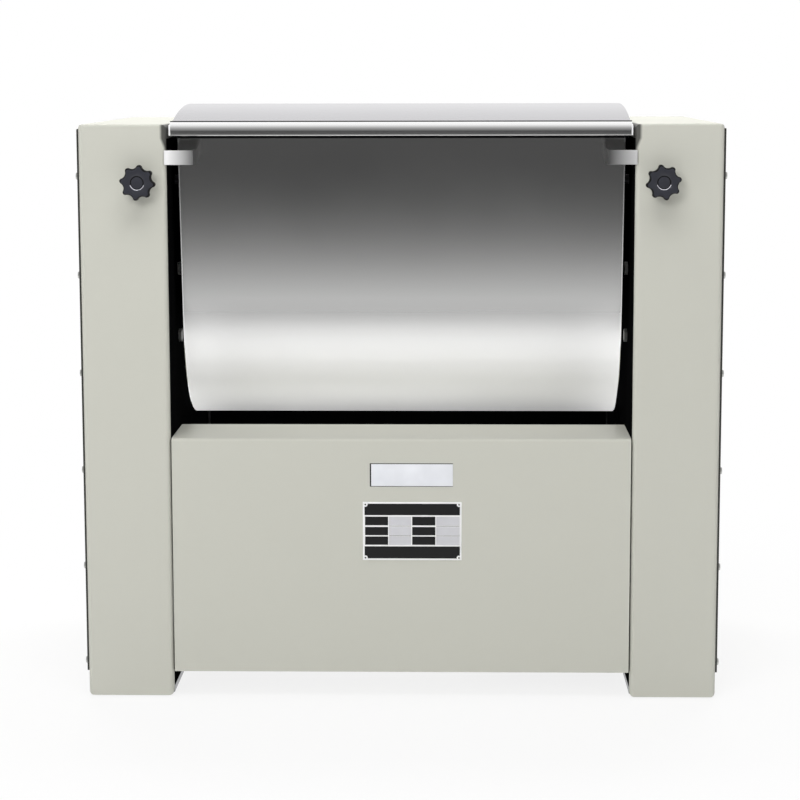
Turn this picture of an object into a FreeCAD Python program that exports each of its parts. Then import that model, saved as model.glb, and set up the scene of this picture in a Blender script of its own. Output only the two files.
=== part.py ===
"""Horizontal dough mixer: a stainless bin between two sheet towers, tilted about its mixing shaft.

Frame: X to the right, Y to the back, Z up, millimetres. The origin lies on the floor, midway
between the towers and midway between the front and back faces.
"""
import FreeCAD, Part
import math
import operator
import os
import Sketcher

Vector = FreeCAD.Vector

# Driving sizes: name, number in millimetres or degrees, what it measures
SIZES = [
    ("tower_gap", 582.0, "clear width between the two towers"),
    ("tower_width", 109.0, "width of one tower"),
    ("tower_depth", 470.0, "depth of a tower, front face to back face"),
    ("tower_over_rim", 15.5, "tower tops above the bin's rim"),
    ("casing_lift", 2.0, "gap between the floor and the casing's lower edge"),
    ("casing_sheet", 2.0, "sheet of the tower casings"),
    ("casing_bend", 6.0, "outer radius of the casing's upright bends"),
    ("casing_flange", 8.0, "return of the casing on the bin side"),
    ("casing_top_flange", 18.0, "how far the casing's top turns down on the bin side"),
    ("corner_round", 6.0, "rounding of the casing's lower corners"),
    ("top_round", 3.0, "bend radius along the casing's top edges"),
    ("frame_gap", 0.3, "clearance around each side plate in its casing"),
    ("plate_thickness", 6.0, "structural side plate"),
    ("base_thickness", 8.0, "base plate of a tower"),
    ("pad_height", 4.0, "rubber pad under a base plate"),
    ("pad_length", 70.0, "rubber pad, across the tower"),
    ("pad_width", 60.0, "rubber pad, front to back"),
    ("pad_inset", 30.0, "pad's edge behind the tower's front face"),
    ("cover_sheet", 2.5, "sheet of the outer side covers"),
    ("cover_inset", 6.0, "cover's edge behind the tower's front face"),
    ("cover_bottom", 32.5, "lower edge of a side cover"),
    ("cover_drop", 6.0, "side cover's upper edge below the tower's top"),
    ("cover_overlap", 18.0, "how far a cover laps the casing around its opening"),
    ("screw_head_radius", 5.0, "cover screw head"),
    ("screw_head_height", 2.5, "cover screw head, how far it stands out"),
    ("screw_edge", 8.0, "cover screw to the cover's edge"),
    ("screw_first", 45.0, "height of the lowest cover screw"),
    ("screw_top_edge", 58.5, "highest cover screw below the cover's upper edge"),
    ("panel_bottom", 33.7, "lower edge of the front and back panels"),
    ("shelf_gap", 3.0, "shelf of the front panel below the bin's lowest point"),
    ("back_panel_drop", 5.0, "top of the back panel below the shelf"),
    ("panel_side_gap", 1.5, "gap between a panel and a tower"),
    ("panel_sheet", 2.0, "sheet of the panels"),
    ("panel_bend", 4.0, "outer bend radius of the panels"),
    ("shelf_depth", 124.0, "depth of the shelf on the front panel"),
    ("shelf_lip", 24.0, "height of the lip behind the shelf"),
    ("panel_foot", 74.0, "flange under a panel, which the rail stands on"),
    ("back_panel_fold", 20.0, "flange along the top of the back panel"),
    ("louvre_length", 90.0, "slot in the back panel"),
    ("louvre_height", 8.0, "slot in the back panel"),
    ("louvre_pitch", 24.0, "rise from one slot to the next"),
    ("louvre_first", 110.0, "height of the lowest slot"),
    ("louvre_spread", 150.0, "slot centre to the middle of the panel"),
    ("rail_height", 40.0, "channel rail between the towers"),
    ("rail_width", 24.0, "flange of a rail"),
    ("rail_sheet", 4.0, "wall of a rail"),
    ("rail_spread", 185.0, "outer face of a rail from the middle of the machine"),
    ("axis_height", 497.0, "height of the mixing shaft, about which the bin tilts"),
    ("bin_length", 562.0, "bin over its end plates"),
    ("bin_radius", 159.0, "outer radius of the bin's round bottom"),
    ("wall_slope", 8.0, "how far the bin's straight walls lean outwards, degrees"),
    ("bin_rise", 216.0, "bin's rim above the shaft"),
    ("bin_sheet", 2.0, "sheet of the bin"),
    ("rim_width", 10.0, "flat flange around the bin's rim"),
    ("rim_thickness", 3.0, "flat flange around the bin's rim"),
    ("spigot_radius", 45.0, "journal on a bearing housing that carries the bin"),
    ("housing_bore_clear", 2.0, "bearing housing's bore outside the shaft"),
    ("spigot_reach", 16.0, "journal's reach from the side plate into the bin"),
    ("running_gap", 0.06, "radial clearance of everything that turns in a bore"),
    ("seat_gap", 0.3, "clearance between pieces that only rest on each other"),
    ("hub_radius", 62.0, "ring on the bin's end that runs on the journal"),
    ("hub_thickness", 7.0, "ring on the bin's end that runs on the journal"),
    ("hub_clear", 1.0, "end plate's bore outside the journal"),
    ("housing_length", 280.0, "bearing housing flange, front to back"),
    ("housing_height", 124.0, "bearing housing flange, upwards"),
    ("flange_thickness", 10.0, "bearing housing flange"),
    ("barrel_radius", 50.0, "bearing housing barrel"),
    ("barrel_length", 34.0, "bearing housing barrel over its flange"),
    ("bolt_spread", 122.0, "housing bolt to the shaft, front to back"),
    ("bolt_rise", 43.5, "housing bolt to the shaft, upwards"),
    ("bolt_radius", 5.0, "housing bolt shank"),
    ("bolt_head_radius", 8.5, "housing bolt head"),
    ("bolt_head_height", 4.0, "low head, clear of the bin's end"),
    ("shaft_radius", 20.0, "mixing shaft"),
    ("bearing_radius", 40.0, "ball bearing of the mixing shaft, outside"),
    ("bearing_width", 18.0, "ball bearing of the mixing shaft"),
    ("seal_radius", 31.0, "lip seal around the mixing shaft"),
    ("seal_width", 10.0, "lip seal around the mixing shaft"),
    ("shaft_inner_reach", 24.0, "mixing shaft's reach inside the bin's end plate"),
    ("gear_module", 4.0, "module of the gear pair"),
    ("gear_teeth", 72.0, "teeth on the mixing shaft's gear"),
    ("pinion_teeth", 18.0, "teeth on the countershaft's pinion"),
    ("pressure_angle", 20.0, "pressure angle of the gear pair, degrees"),
    ("tooth_play", 0.25, "how much thinner each tooth is than half a pitch"),
    ("gear_width", 22.0, "face width of the large gear"),
    ("pinion_extra", 3.0, "pinion is wider than the gear by this"),
    ("gear_start", 71.0, "gear's inner face from the side plate's inner face"),
    ("gear_web", 8.0, "web between the gear's rim and hub"),
    ("gear_rim", 16.0, "rim under the gear's teeth"),
    ("gear_hub_radius", 34.0, "hub of the large gear"),
    ("gear_hole_radius", 26.0, "lightening hole in the gear's web"),
    ("gear_hole_circle", 82.0, "lightening holes to the gear's centre"),
    ("gear_holes", 5.0, "number of lightening holes"),
    ("counter_radius", 12.0, "countershaft"),
    ("counter_housing_radius", 30.0, "countershaft housing barrel"),
    ("counter_flange_radius", 52.0, "countershaft housing flange"),
    ("counter_barrel_length", 24.0, "countershaft housing barrel over its flange"),
    ("counter_bearing_radius", 23.5, "countershaft ball bearing, outside"),
    ("counter_bearing_width", 14.0, "countershaft ball bearing"),
    ("pulley_start", 46.0, "large pulley's inner face from the side plate's inner face"),
    ("pulley_width", 22.0, "width of both pulleys"),
    ("pulley_radius", 122.0, "large pulley, outside"),
    ("pulley_rim", 20.0, "depth of the large pulley's rim"),
    ("pulley_web", 8.0, "web of the large pulley"),
    ("pulley_hub_radius", 26.0, "hub of the large pulley"),
    ("small_pulley_radius", 34.0, "motor pulley, outside"),
    ("groove_top", 17.0, "width of a belt groove at the outside"),
    ("groove_bottom", 9.4, "width of a belt groove at its floor"),
    ("groove_depth", 13.0, "depth of a belt groove"),
    ("belt_height", 10.0, "thickness of the belt"),
    ("belt_sink", 1.0, "belt's back below the pulley's outside"),
    ("motor_back", 122.0, "motor shaft behind the mixing shaft"),
    ("motor_height", 168.0, "motor shaft above the floor"),
    ("motor_radius", 76.0, "motor frame without its fins"),
    ("fin_height", 8.0, "cooling fins on the motor frame"),
    ("fin_thickness", 3.0, "cooling fin"),
    ("fin_count", 24.0, "cooling fins around the frame"),
    ("motor_length", 170.0, "finned frame of the motor"),
    ("motor_front", 30.0, "motor frame's end behind the side plate's inner face"),
    ("shield_length", 34.0, "motor's front end shield"),
    ("shield_radius", 70.0, "motor's front end shield"),
    ("fan_cover_length", 52.0, "cover over the motor's fan"),
    ("motor_shaft_radius", 12.0, "motor shaft"),
    ("motor_cutout_gap", 8.0, "side plate's opening around the motor's end shield"),
    ("foot_length", 120.0, "motor foot along the motor"),
    ("foot_spread", 70.0, "motor foot's centre to the motor shaft"),
    ("foot_width", 30.0, "motor foot, front to back"),
    ("foot_thickness", 8.0, "motor foot"),
    ("motor_plate", 6.0, "plate under the motor"),
    ("terminal_width", 80.0, "motor's terminal box"),
    ("terminal_height", 34.0, "motor's terminal box above the fins"),
    ("rotor_radius", 118.0, "mixing blades, centre line to shaft"),
    ("blade_radius", 13.0, "half the thickness of a mixing blade"),
    ("blade_turn", 180.0, "how far a blade winds from end to end, degrees"),
    ("arm_thickness", 18.0, "rotor arm along the shaft"),
    ("arm_width", 46.0, "rotor arm across"),
    ("arm_gap", 6.0, "rotor arm to the journal's end"),
    ("rotor_hub_radius", 34.0, "rotor hub"),
    ("rotor_rest", 35.0, "angle of the rotor at rest, degrees"),
    ("ear_height", 20.0, "stop ear, upwards"),
    ("ear_sheet", 2.0, "stop ear"),
    ("ear_drop", 25.0, "stop ears below the bin's rim"),
    ("ear_leg", 9.0, "leg of a stop ear, from the ear's inner end"),
    ("ear_outer", 293.0, "outer end of a stop ear"),
    ("ear_left_inner", 263.0, "inner end of the left stop ear"),
    ("ear_right_inner", 256.0, "inner end of the right stop ear"),
    ("knob_out", 323.5, "star knob to the middle of the machine"),
    ("knob_drop", 55.7, "star knob below the bin's rim"),
    ("knob_radius", 22.0, "star knob over its lobes"),
    ("knob_thickness", 14.0, "lobed part of the star knob"),
    ("knob_lobes", 8.0, "lobes of the star knob"),
    ("knob_scallop", 9.2, "radius of the hollow between two lobes"),
    ("knob_scallop_out", 5.1, "centre of that hollow outside the lobes' radius"),
    ("knob_turn_left", 15.5, "how far the left knob stands turned, degrees"),
    ("knob_turn_right", -11.9, "how far the right knob stands turned, degrees"),
    ("knob_hub_radius", 11.0, "star knob's neck"),
    ("knob_neck", 15.7, "star knob's neck behind the lobes"),
    ("knob_cap_radius", 9.3, "recess for the cap in the star knob"),
    ("knob_cap_depth", 1.2, "depth of that recess"),
    ("stud_radius", 6.0, "stud behind a star knob"),
    ("bush_radius", 10.0, "bush of the stud in the casing"),
    ("bush_head", 14.0, "head of that bush, inside the casing"),
    ("finger_thickness", 6.0, "lock finger"),
    ("finger_width", 16.0, "lock finger"),
    ("finger_gap", 4.0, "lock finger's tip to the bin's end plate when locked"),
    ("finger_ease", 1.0, "lock finger to the stub when locked"),
    ("stub_radius", 6.0, "lock stub on the bin's end"),
    ("stub_reach", 7.0, "lock stub's reach from the bin's end"),
    ("stub_front", 165.0, "lock stub in front of the mixing shaft"),
    ("bracket_sheet", 5.0, "bracket that carries the stud's inner end"),
    ("bracket_height", 40.0, "bracket that carries the stud's inner end"),
    ("lid_length", 573.6, "lid, side to side"),
    ("lid_sheet", 1.5, "sheet of the lid"),
    ("lid_gap", 1.0, "lower edge of the lid's front bar above the bin's rim"),
    ("lid_bar_height", 17.0, "height of the lid's front bar"),
    ("lid_front", 228.0, "lid's front bar in front of the mixing shaft"),
    ("lid_roll", 7.0, "radius of the rolled front bar"),
    ("lid_tuck", 1.8, "how far the bar's lower edge stands back"),
    ("arch_front", 198.0, "where the lid's arch begins, in front of the mixing shaft"),
    ("arch_rise", 19.5, "crest of the lid above its front bar"),
    ("lid_back", 205.0, "lid's back edge behind the mixing shaft"),
    ("hinge_back", 217.0, "lid hinge behind the mixing shaft"),
    ("hinge_rise", 13.0, "lid hinge above the bin's rim"),
    ("hinge_spread", 190.0, "lid hinge to the middle of the machine"),
    ("pin_radius", 4.0, "hinge pin"),
    ("knuckle_radius", 7.0, "hinge knuckle"),
    ("knuckle_length", 34.0, "hinge knuckle"),
    ("cheek_thickness", 4.0, "cheek of a hinge bracket"),
    ("leaf_thickness", 3.0, "hinge leaf on the lid"),
    ("leaf_length", 34.0, "hinge leaf along the lid"),
    ("label_centre", 14.0, "label plates to the right of the middle"),
    ("maker_width", 103.0, "bare upper plate"),
    ("maker_height", 28.0, "bare upper plate"),
    ("maker_drop", 46.3, "bare upper plate's centre below the shelf"),
    ("data_width", 125.0, "data plate"),
    ("data_height", 75.0, "data plate"),
    ("data_drop", 118.2, "data plate's centre below the shelf"),
    ("label_sheet", 1.0, "sheet of the label plates"),
    ("rivet_radius", 2.2, "rivet of the data plate"),
    ("rivet_height", 0.8, "rivet head"),
    ("rivet_edge", 4.5, "rivet to the plate's edge"),
    ("switch_drop", 128.5, "rotary switch below the tower's top"),
    ("switch_out", 345.0, "rotary switch to the middle of the machine"),
    ("switch_plate", 66.0, "rotary switch's square plate"),
    ("switch_plate_thickness", 3.0, "rotary switch's square plate"),
    ("switch_radius", 23.0, "rotary switch's dial"),
    ("switch_reach", 30.0, "rotary switch behind the tower's back face"),
    ("switch_grip", 12.0, "bar grip on the dial"),
    ("gland_height", 90.0, "cable gland above the floor"),
    ("gland_radius", 12.0, "cable gland's nut"),
    ("gland_reach", 22.0, "cable gland behind the tower's back face"),
]


class Dim:
    """A size that knows its number and the sheet formula that gives it."""

    def __init__(self, number, text):
        self.number = float(number)
        self.text = text

    def __float__(self):
        return self.number

    def __neg__(self):
        return worked(0, "-", self)

    def __add__(self, other):
        return worked(self, "+", other)

    def __radd__(self, other):
        return worked(other, "+", self)

    def __sub__(self, other):
        return worked(self, "-", other)

    def __rsub__(self, other):
        return worked(other, "-", self)

    def __mul__(self, other):
        return worked(self, "*", other)

    def __rmul__(self, other):
        return worked(other, "*", self)

    def __truediv__(self, other):
        return worked(self, "/", other)

    def __rtruediv__(self, other):
        return worked(other, "/", self)


SIGNS = {"+": operator.add, "-": operator.sub, "*": operator.mul, "/": operator.truediv}


def text_of(amount):
    """The formula of a size, or a plain number as text."""
    return amount.text if isinstance(amount, Dim) else repr(float(amount))


def worked(left, sign, right):
    """Both the number and the formula of left sign right."""
    number = SIGNS[sign](float(left), float(right))
    return Dim(number, f"({text_of(left)} {sign} {text_of(right)})")


def cosine(angle):
    return Dim(math.cos(math.radians(float(angle))), f"cos({text_of(angle)})")


def sine(angle):
    return Dim(math.sin(math.radians(float(angle))), f"sin({text_of(angle)})")


DOC = FreeCAD.newDocument("DoughMixer")


class SizeTable:
    """The spreadsheet of driving sizes, each read as an attribute."""

    def __init__(self, rows):
        self.sheet = DOC.addObject("Spreadsheet::Sheet", "Sizes")
        for row, (name, number, note) in enumerate(rows, 1):
            self.sheet.set(f"A{row}", name)
            self.sheet.set(f"B{row}", str(number))
            self.sheet.set(f"C{row}", note)
            self.sheet.setAlias(f"B{row}", name)
            setattr(self, name, Dim(number, f"Sizes.{name}"))
        DOC.recompute()


S = SizeTable(SIZES)
SUBPARTS = []

# Places worked out from the driving sizes
INNER = S.tower_gap / 2
OUTER = INNER + S.tower_width
FRONT = -S.tower_depth / 2
BACK = S.tower_depth / 2
PLATE_OUTER = INNER + S.plate_thickness
RIM = S.axis_height + S.bin_rise
TOWER_TOP = RIM + S.tower_over_rim
PLATE_TOP = TOWER_TOP - S.casing_top_flange - S.frame_gap
COVER_TOP = TOWER_TOP - S.cover_drop
SCREW_PITCH = (COVER_TOP - S.screw_top_edge - S.screw_first) / 5
PANEL_TOP = S.axis_height - S.bin_radius - S.shelf_gap
BACK_PANEL_TOP = PANEL_TOP - S.back_panel_drop
EAR_CENTRE = RIM - S.ear_drop
KNOB_HEIGHT = RIM - S.knob_drop
LID_BOTTOM = RIM + S.lid_gap
LID_TOP = LID_BOTTOM + S.lid_bar_height
HINGE_HEIGHT = RIM + S.hinge_rise
SWITCH_HEIGHT = TOWER_TOP - S.switch_drop
BASE_BOTTOM = S.pad_height
BASE_TOP = S.pad_height + S.base_thickness
PANEL_END = INNER - S.panel_side_gap
RAIL_BOTTOM = S.panel_bottom + S.panel_sheet
BIN_END = S.bin_length / 2
BIN_INNER = BIN_END - S.bin_sheet
COUNTER_HEIGHT = S.axis_height - S.gear_module * (S.gear_teeth + S.pinion_teeth) / 2
KNOB_FRONT = FRONT - S.seat_gap - S.knob_neck - S.knob_thickness
SIDES = {"left": -1, "right": 1}

TURN_TO_X = FreeCAD.Rotation(Vector(0, 1, 0), 90)
TURN_TO_Y = FreeCAD.Rotation(Vector(1, 0, 0), -90)
UPRIGHT = FreeCAD.Rotation()
TURNS = {"x": TURN_TO_X, "y": TURN_TO_Y, "z": UPRIGHT}


def subpart(label, thing):
    """Give a finished sub-part its label and put it on the list that is written out."""
    thing.Label = label
    SUBPARTS.append(thing)
    return thing


def place(thing, corner, rotation=UPRIGHT):
    """Turn an object, then bind its place to the sheet."""
    thing.Placement = FreeCAD.Placement(Vector(), rotation)
    for letter, amount in zip("xyz", corner):
        thing.setExpression(f"Placement.Base.{letter}", text_of(amount))
    return thing


def block(name, corner, extent):
    """A box from its low corner."""
    box = DOC.addObject("Part::Box", name)
    for side, amount in zip(("Length", "Width", "Height"), extent):
        box.setExpression(side, text_of(amount))
    return place(box, corner)


def rod(name, along, start, radius, length):
    """A cylinder from the centre of its first face, along x, y or z."""
    cylinder = DOC.addObject("Part::Cylinder", name)
    cylinder.setExpression("Radius", text_of(radius))
    cylinder.setExpression("Height", text_of(length))
    return place(cylinder, start, TURNS[along])


def cone(name, along, start, first_radius, last_radius, length):
    """A cone frustum from the centre of its first face, along x, y or z."""
    frustum = DOC.addObject("Part::Cone", name)
    frustum.setExpression("Radius1", text_of(first_radius))
    frustum.setExpression("Radius2", text_of(last_radius))
    frustum.setExpression("Height", text_of(length))
    return place(frustum, start, TURNS[along])


def fuse(name, *pieces):
    """One solid out of several."""
    joined = DOC.addObject("Part::MultiFuse", name)
    joined.Shapes = list(pieces)
    return joined


def cut(name, base, *tools):
    """The base without the tools."""
    rest = DOC.addObject("Part::Cut", name)
    rest.Base = base
    rest.Tool = tools[0] if len(tools) == 1 else fuse(f"{name}_tools", *tools)
    return rest


def shared(name, first, second):
    """What two solids have in common."""
    common = DOC.addObject("Part::Common", name)
    common.Base = first
    common.Tool = second
    return common


def group(name, *pieces):
    """Separate solids kept together as one sub-part."""
    compound = DOC.addObject("Part::Compound", name)
    compound.Links = list(pieces)
    return compound


def ring(name, along, start, outer, inner, length):
    """A tube from the centre of its first face."""
    return cut(
        name,
        rod(f"{name}_outside", along, start, outer, length),
        rod(f"{name}_bore", along, start, inner, length),
    )


def arc_between(start, end, radius, turn):
    """The short arc from start to end that turns left (1) or right (-1)."""
    chord = end - start
    half = chord.Length / 2
    left = Vector(-chord.y, chord.x, 0).normalize()
    reach = math.sqrt(max(radius * radius - half * half, 0.0))
    centre = (start + end) / 2 + left * reach * turn
    first, last = (start, end) if turn > 0 else (end, start)
    angles = [math.atan2(point.y - centre.y, point.x - centre.x) for point in (first, last)]
    circle = Part.Circle(centre, Vector(0, 0, 1), radius)
    return Part.ArcOfCircle(circle, angles[0], angles[1])


def bind_point(drawing, item, end, corner):
    """Bind one point of a sketch to its two sizes."""
    for kind, amount in zip(("DistanceX", "DistanceY"), corner):
        number = drawing.addConstraint(
            Sketcher.Constraint(kind, -1, 1, item, end, float(amount))
        )
        if isinstance(amount, Dim):
            drawing.setExpression(f"Constraints[{number}]", amount.text)


def draw_outline(drawing, corners):
    """Draw a closed outline whose corners and radii are bound to the sheet.

    A corner is (x, y) with a straight line to the next one, or (x, y, radius, turn) with an arc.
    """
    first = drawing.GeometryCount
    points = [Vector(float(corner[0]), float(corner[1]), 0) for corner in corners]
    starts, ends = [], []
    for number, corner in enumerate(corners):
        here, after = points[number], points[(number + 1) % len(points)]
        if len(corner) == 2:
            drawing.addGeometry(Part.LineSegment(here, after), False)
            starts.append(1)
            ends.append(2)
        else:
            drawing.addGeometry(arc_between(here, after, float(corner[2]), corner[3]), False)
            starts.append(1 if corner[3] > 0 else 2)
            ends.append(2 if corner[3] > 0 else 1)
    for number, corner in enumerate(corners):
        before = (number - 1) % len(corners)
        drawing.addConstraint(
            Sketcher.Constraint(
                "Coincident", first + before, ends[before], first + number, starts[number]
            )
        )
        bind_point(drawing, first + number, starts[number], corner[:2])
        if len(corner) > 2:
            bind_radius(drawing, first + number, corner[2])


def bind_radius(drawing, item, radius):
    number = drawing.addConstraint(Sketcher.Constraint("Radius", item, float(radius)))
    if isinstance(radius, Dim):
        drawing.setExpression(f"Constraints[{number}]", radius.text)


def draw_hole(drawing, x, y, radius):
    """Draw a circle bound to the sheet."""
    centre = Vector(float(x), float(y), 0)
    item = drawing.addGeometry(Part.Circle(centre, Vector(0, 0, 1), float(radius)), False)
    bind_point(drawing, item, 3, (x, y))
    bind_radius(drawing, item, radius)


def sketch_in(part, name, role, offset=0):
    """An empty sketch on one of the body's own planes, moved along its normal."""
    plane = next(item for item in part.Origin.OriginFeatures if item.Role == role)
    drawing = part.newObject("Sketcher::SketchObject", name)
    drawing.AttachmentSupport = (plane, [""])
    drawing.MapMode = "FlatFace"
    drawing.setExpression("AttachmentOffset.Base.z", text_of(offset))
    return drawing


def prism(label, role, outlines, start, length, holes=()):
    """A body padded from one plane: XY pads up, YZ pads to +X, XZ pads to the front (-Y)."""
    part = DOC.addObject("PartDesign::Body", label)
    drawing = sketch_in(part, f"{label}_sketch", role, start)
    for corners in outlines:
        draw_outline(drawing, corners)
    for hole in holes:
        draw_hole(drawing, *hole)
    pad = part.newObject("PartDesign::Pad", f"{label}_pad")
    pad.Profile = drawing
    pad.setExpression("Length", text_of(length))
    return part


def turned(label, along, centre, outline):
    """A body turned about an axis along x or y through centre; the outline is (along, radius)."""
    part = DOC.addObject("PartDesign::Body", label)
    drawing = sketch_in(part, f"{label}_sketch", "XY_Plane")
    draw_outline(drawing, outline)
    spin = part.newObject("PartDesign::Revolution", f"{label}_turn")
    spin.Profile = drawing
    axis = next(item for item in part.Origin.OriginFeatures if item.Role == "X_Axis")
    spin.ReferenceAxis = (axis, [""])
    spin.Angle = 360
    rotation = UPRIGHT if along == "x" else FreeCAD.Rotation(Vector(0, 0, 1), 90)
    return place(part, centre, rotation)


def rounded(left, bottom, right, top, radius):
    """Corners of a rectangle with round corners, anticlockwise."""
    return [
        (left + radius, bottom),
        (right - radius, bottom, radius, 1),
        (right, bottom + radius),
        (right, top - radius, radius, 1),
        (right - radius, top),
        (left + radius, top, radius, 1),
        (left, top - radius),
        (left, bottom + radius, radius, 1),
    ]


def low_x(side, inner, width):
    """Low X of a piece that spans inner to inner + width on its side of the machine."""
    return inner if side > 0 else -(inner + width)


def formed_shape(label, shape):
    """A sub-part whose shape is worked out here from the sheet."""
    feature = DOC.addObject("Part::Feature", label)
    feature.Shape = shape
    return feature


def hexagon(name, along, start, radius, length):
    """A hexagonal prism from the centre of its first face, along x, y or z."""
    prism_piece = DOC.addObject("Part::Prism", name)
    prism_piece.Polygon = 6
    prism_piece.setExpression("Circumradius", text_of(radius))
    prism_piece.setExpression("Height", text_of(length))
    return place(prism_piece, start, TURNS[along])


# Towers


def casing_block(name, side, inset, lower):
    """The tower's outline, shrunk by inset, down to the height lower."""
    start = low_x(side, INNER + inset, S.tower_width - 2 * inset)
    end = start + S.tower_width - 2 * inset
    plan = prism(
        f"{name}_plan",
        "XY_Plane",
        [rounded(start, FRONT + inset, end, BACK - inset, S.casing_bend - inset)],
        lower,
        TOWER_TOP - inset - lower,
    )
    profile = prism(
        f"{name}_profile",
        "YZ_Plane",
        [
            [
                (FRONT + inset, lower),
                (BACK - inset, lower),
                (BACK - inset, TOWER_TOP - S.top_round, S.top_round - inset, 1),
                (BACK - S.top_round, TOWER_TOP - inset),
                (FRONT + S.top_round, TOWER_TOP - inset, S.top_round - inset, 1),
                (FRONT + inset, TOWER_TOP - S.top_round),
            ]
        ],
        start,
        S.tower_width - 2 * inset,
    )
    return shared(name, plan, profile)


def casing_pieces(name, side, whole):
    """The casing's folded sheets, which touch where they are welded."""
    low = low_x(side, INNER, S.tower_width)
    edge = S.casing_flange
    start = FRONT + edge
    depth = S.tower_depth - 2 * edge
    top = TOWER_TOP - S.corner_round
    full = TOWER_TOP - S.casing_lift
    rooms = {
        "front": ((low, FRONT, S.casing_lift), (S.tower_width, edge, full)),
        "back": ((low, BACK - edge, S.casing_lift), (S.tower_width, edge, full)),
        "top": ((low, start, top), (S.tower_width, depth, S.corner_round)),
        "cover_frame": (
            (low_x(side, OUTER - edge, edge), start, S.casing_lift),
            (edge, depth, top - S.casing_lift),
        ),
        "top_rail": (
            (low_x(side, INNER, edge), start, S.casing_lift),
            (edge, depth, top - S.casing_lift),
        ),
    }
    return [
        shared(f"{name}_{sheet}", whole, block(f"{name}_{sheet}_room", *room))
        for sheet, room in rooms.items()
    ]


def tower_casing(name, side):
    """Welded sheets around front, top and back, open below, to the bin and to the side cover."""
    outside = casing_block(f"{name}_outside", side, 0, S.casing_lift)
    elevation = prism(
        f"{name}_elevation",
        "XZ_Plane",
        [
            rounded(
                low_x(side, INNER, S.tower_width),
                S.casing_lift,
                low_x(side, INNER, S.tower_width) + S.tower_width,
                TOWER_TOP,
                S.corner_round,
            )
        ],
        FRONT,
        S.tower_depth,
    )
    inside = casing_block(f"{name}_inside", side, S.casing_sheet, S.casing_lift - S.casing_flange)
    window = 2 * S.casing_sheet
    bin_side = block(
        f"{name}_bin_opening",
        (
            low_x(side, INNER - S.casing_sheet, window),
            FRONT + S.casing_flange,
            S.casing_lift - S.casing_sheet,
        ),
        (
            window,
            S.tower_depth - 2 * S.casing_flange,
            TOWER_TOP - S.casing_top_flange - S.casing_lift + S.casing_sheet,
        ),
    )
    lap = S.cover_overlap
    outer_side = block(
        f"{name}_cover_opening",
        (
            low_x(side, OUTER - S.casing_sheet * 1.5, window),
            FRONT + S.cover_inset + lap,
            S.cover_bottom + lap,
        ),
        (
            window,
            S.tower_depth - 2 * (S.cover_inset + lap),
            COVER_TOP - S.cover_bottom - 2 * lap,
        ),
    )
    tools = [inside, bin_side, outer_side, stud_hole(name, side)]
    if side > 0:
        tools += [switch_hole(name), gland_hole(name)]
    whole = cut(f"{name}_whole", shared(f"{name}_blank", outside, elevation), *tools)
    return subpart(name, group(name, *casing_pieces(name, side, whole)))


def stud_hole(name, side):
    """Hole of the lock bush in the front sheet."""
    return rod(
        f"{name}_stud_hole",
        "y",
        (side * S.knob_out, FRONT - S.casing_sheet, KNOB_HEIGHT),
        S.bush_radius + S.running_gap,
        3 * S.casing_sheet,
    )


def switch_hole(name):
    """Hole behind the rotary switch."""
    return rod(
        f"{name}_switch_hole",
        "y",
        (S.switch_out, BACK - 2 * S.casing_sheet, SWITCH_HEIGHT),
        S.switch_plate / 6,
        3 * S.casing_sheet,
    )


def gland_hole(name):
    """Hole of the cable gland."""
    return rod(
        f"{name}_gland_hole",
        "y",
        (S.switch_out, BACK - 2 * S.casing_sheet, S.gland_height),
        S.gland_radius * 0.6 + S.running_gap,
        3 * S.casing_sheet,
    )


def side_cover(name, side):
    """Flat cover screwed over the open outer side of a tower."""
    outline = rounded(
        FRONT + S.cover_inset,
        S.cover_bottom,
        BACK - S.cover_inset,
        COVER_TOP,
        S.cover_sheet,
    )
    return subpart(
        name, prism(name, "YZ_Plane", [outline], low_x(side, OUTER, S.cover_sheet), S.cover_sheet)
    )


def flat_sided_head(name, start):
    """Head of a cover screw; its twelve sides stand for the round one."""
    head = DOC.addObject("Part::Prism", name)
    head.Polygon = 12
    head.setExpression("Circumradius", text_of(S.screw_head_radius))
    head.setExpression("Height", text_of(S.screw_head_height))
    return place(head, start, TURNS["x"])


def cover_screws():
    """Two rows of screw heads on each side cover."""
    heads = []
    for side_name, side in SIDES.items():
        for row in range(6):
            for place_name, y in (
                ("front", FRONT + S.cover_inset + S.screw_edge),
                ("back", BACK - S.cover_inset - S.screw_edge),
            ):
                heads.append(
                    flat_sided_head(
                        f"cover_screw_{side_name}_{place_name}_{row}",
                        (
                            low_x(side, OUTER + S.cover_sheet, S.screw_head_height),
                            y,
                            S.screw_first + row * SCREW_PITCH,
                        ),
                    )
                )
    return subpart("cover_screws", group("cover_screws", *heads))


def side_plate(name, side):
    """Structural plate that closes a tower towards the bin and carries the shafts."""
    edge = S.casing_flange + S.frame_gap
    outline = rounded(FRONT + edge, BASE_TOP, BACK - edge, PLATE_TOP, S.corner_round)
    holes = [(0, S.axis_height, S.spigot_radius + S.running_gap)]
    for forward in (-1, 1):
        for up in (-1, 1):
            holes.append(
                (
                    forward * S.bolt_spread,
                    S.axis_height + up * S.bolt_rise,
                    S.bolt_radius + S.seat_gap,
                )
            )
    if side > 0:
        holes.append((0, COUNTER_HEIGHT, S.counter_radius * 1.5))
        holes.append((S.motor_back, S.motor_height, S.shield_radius + S.motor_cutout_gap))
    outlines = [outline, lock_slot()]
    body = prism(
        name,
        "YZ_Plane",
        outlines,
        low_x(side, INNER, S.plate_thickness),
        S.plate_thickness,
        holes,
    )
    return subpart(name, body)


FINGER_BACK = -(S.stub_front + S.stub_radius + S.finger_ease)
FINGER_LENGTH = S.knob_out - BIN_END - S.finger_gap


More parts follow.
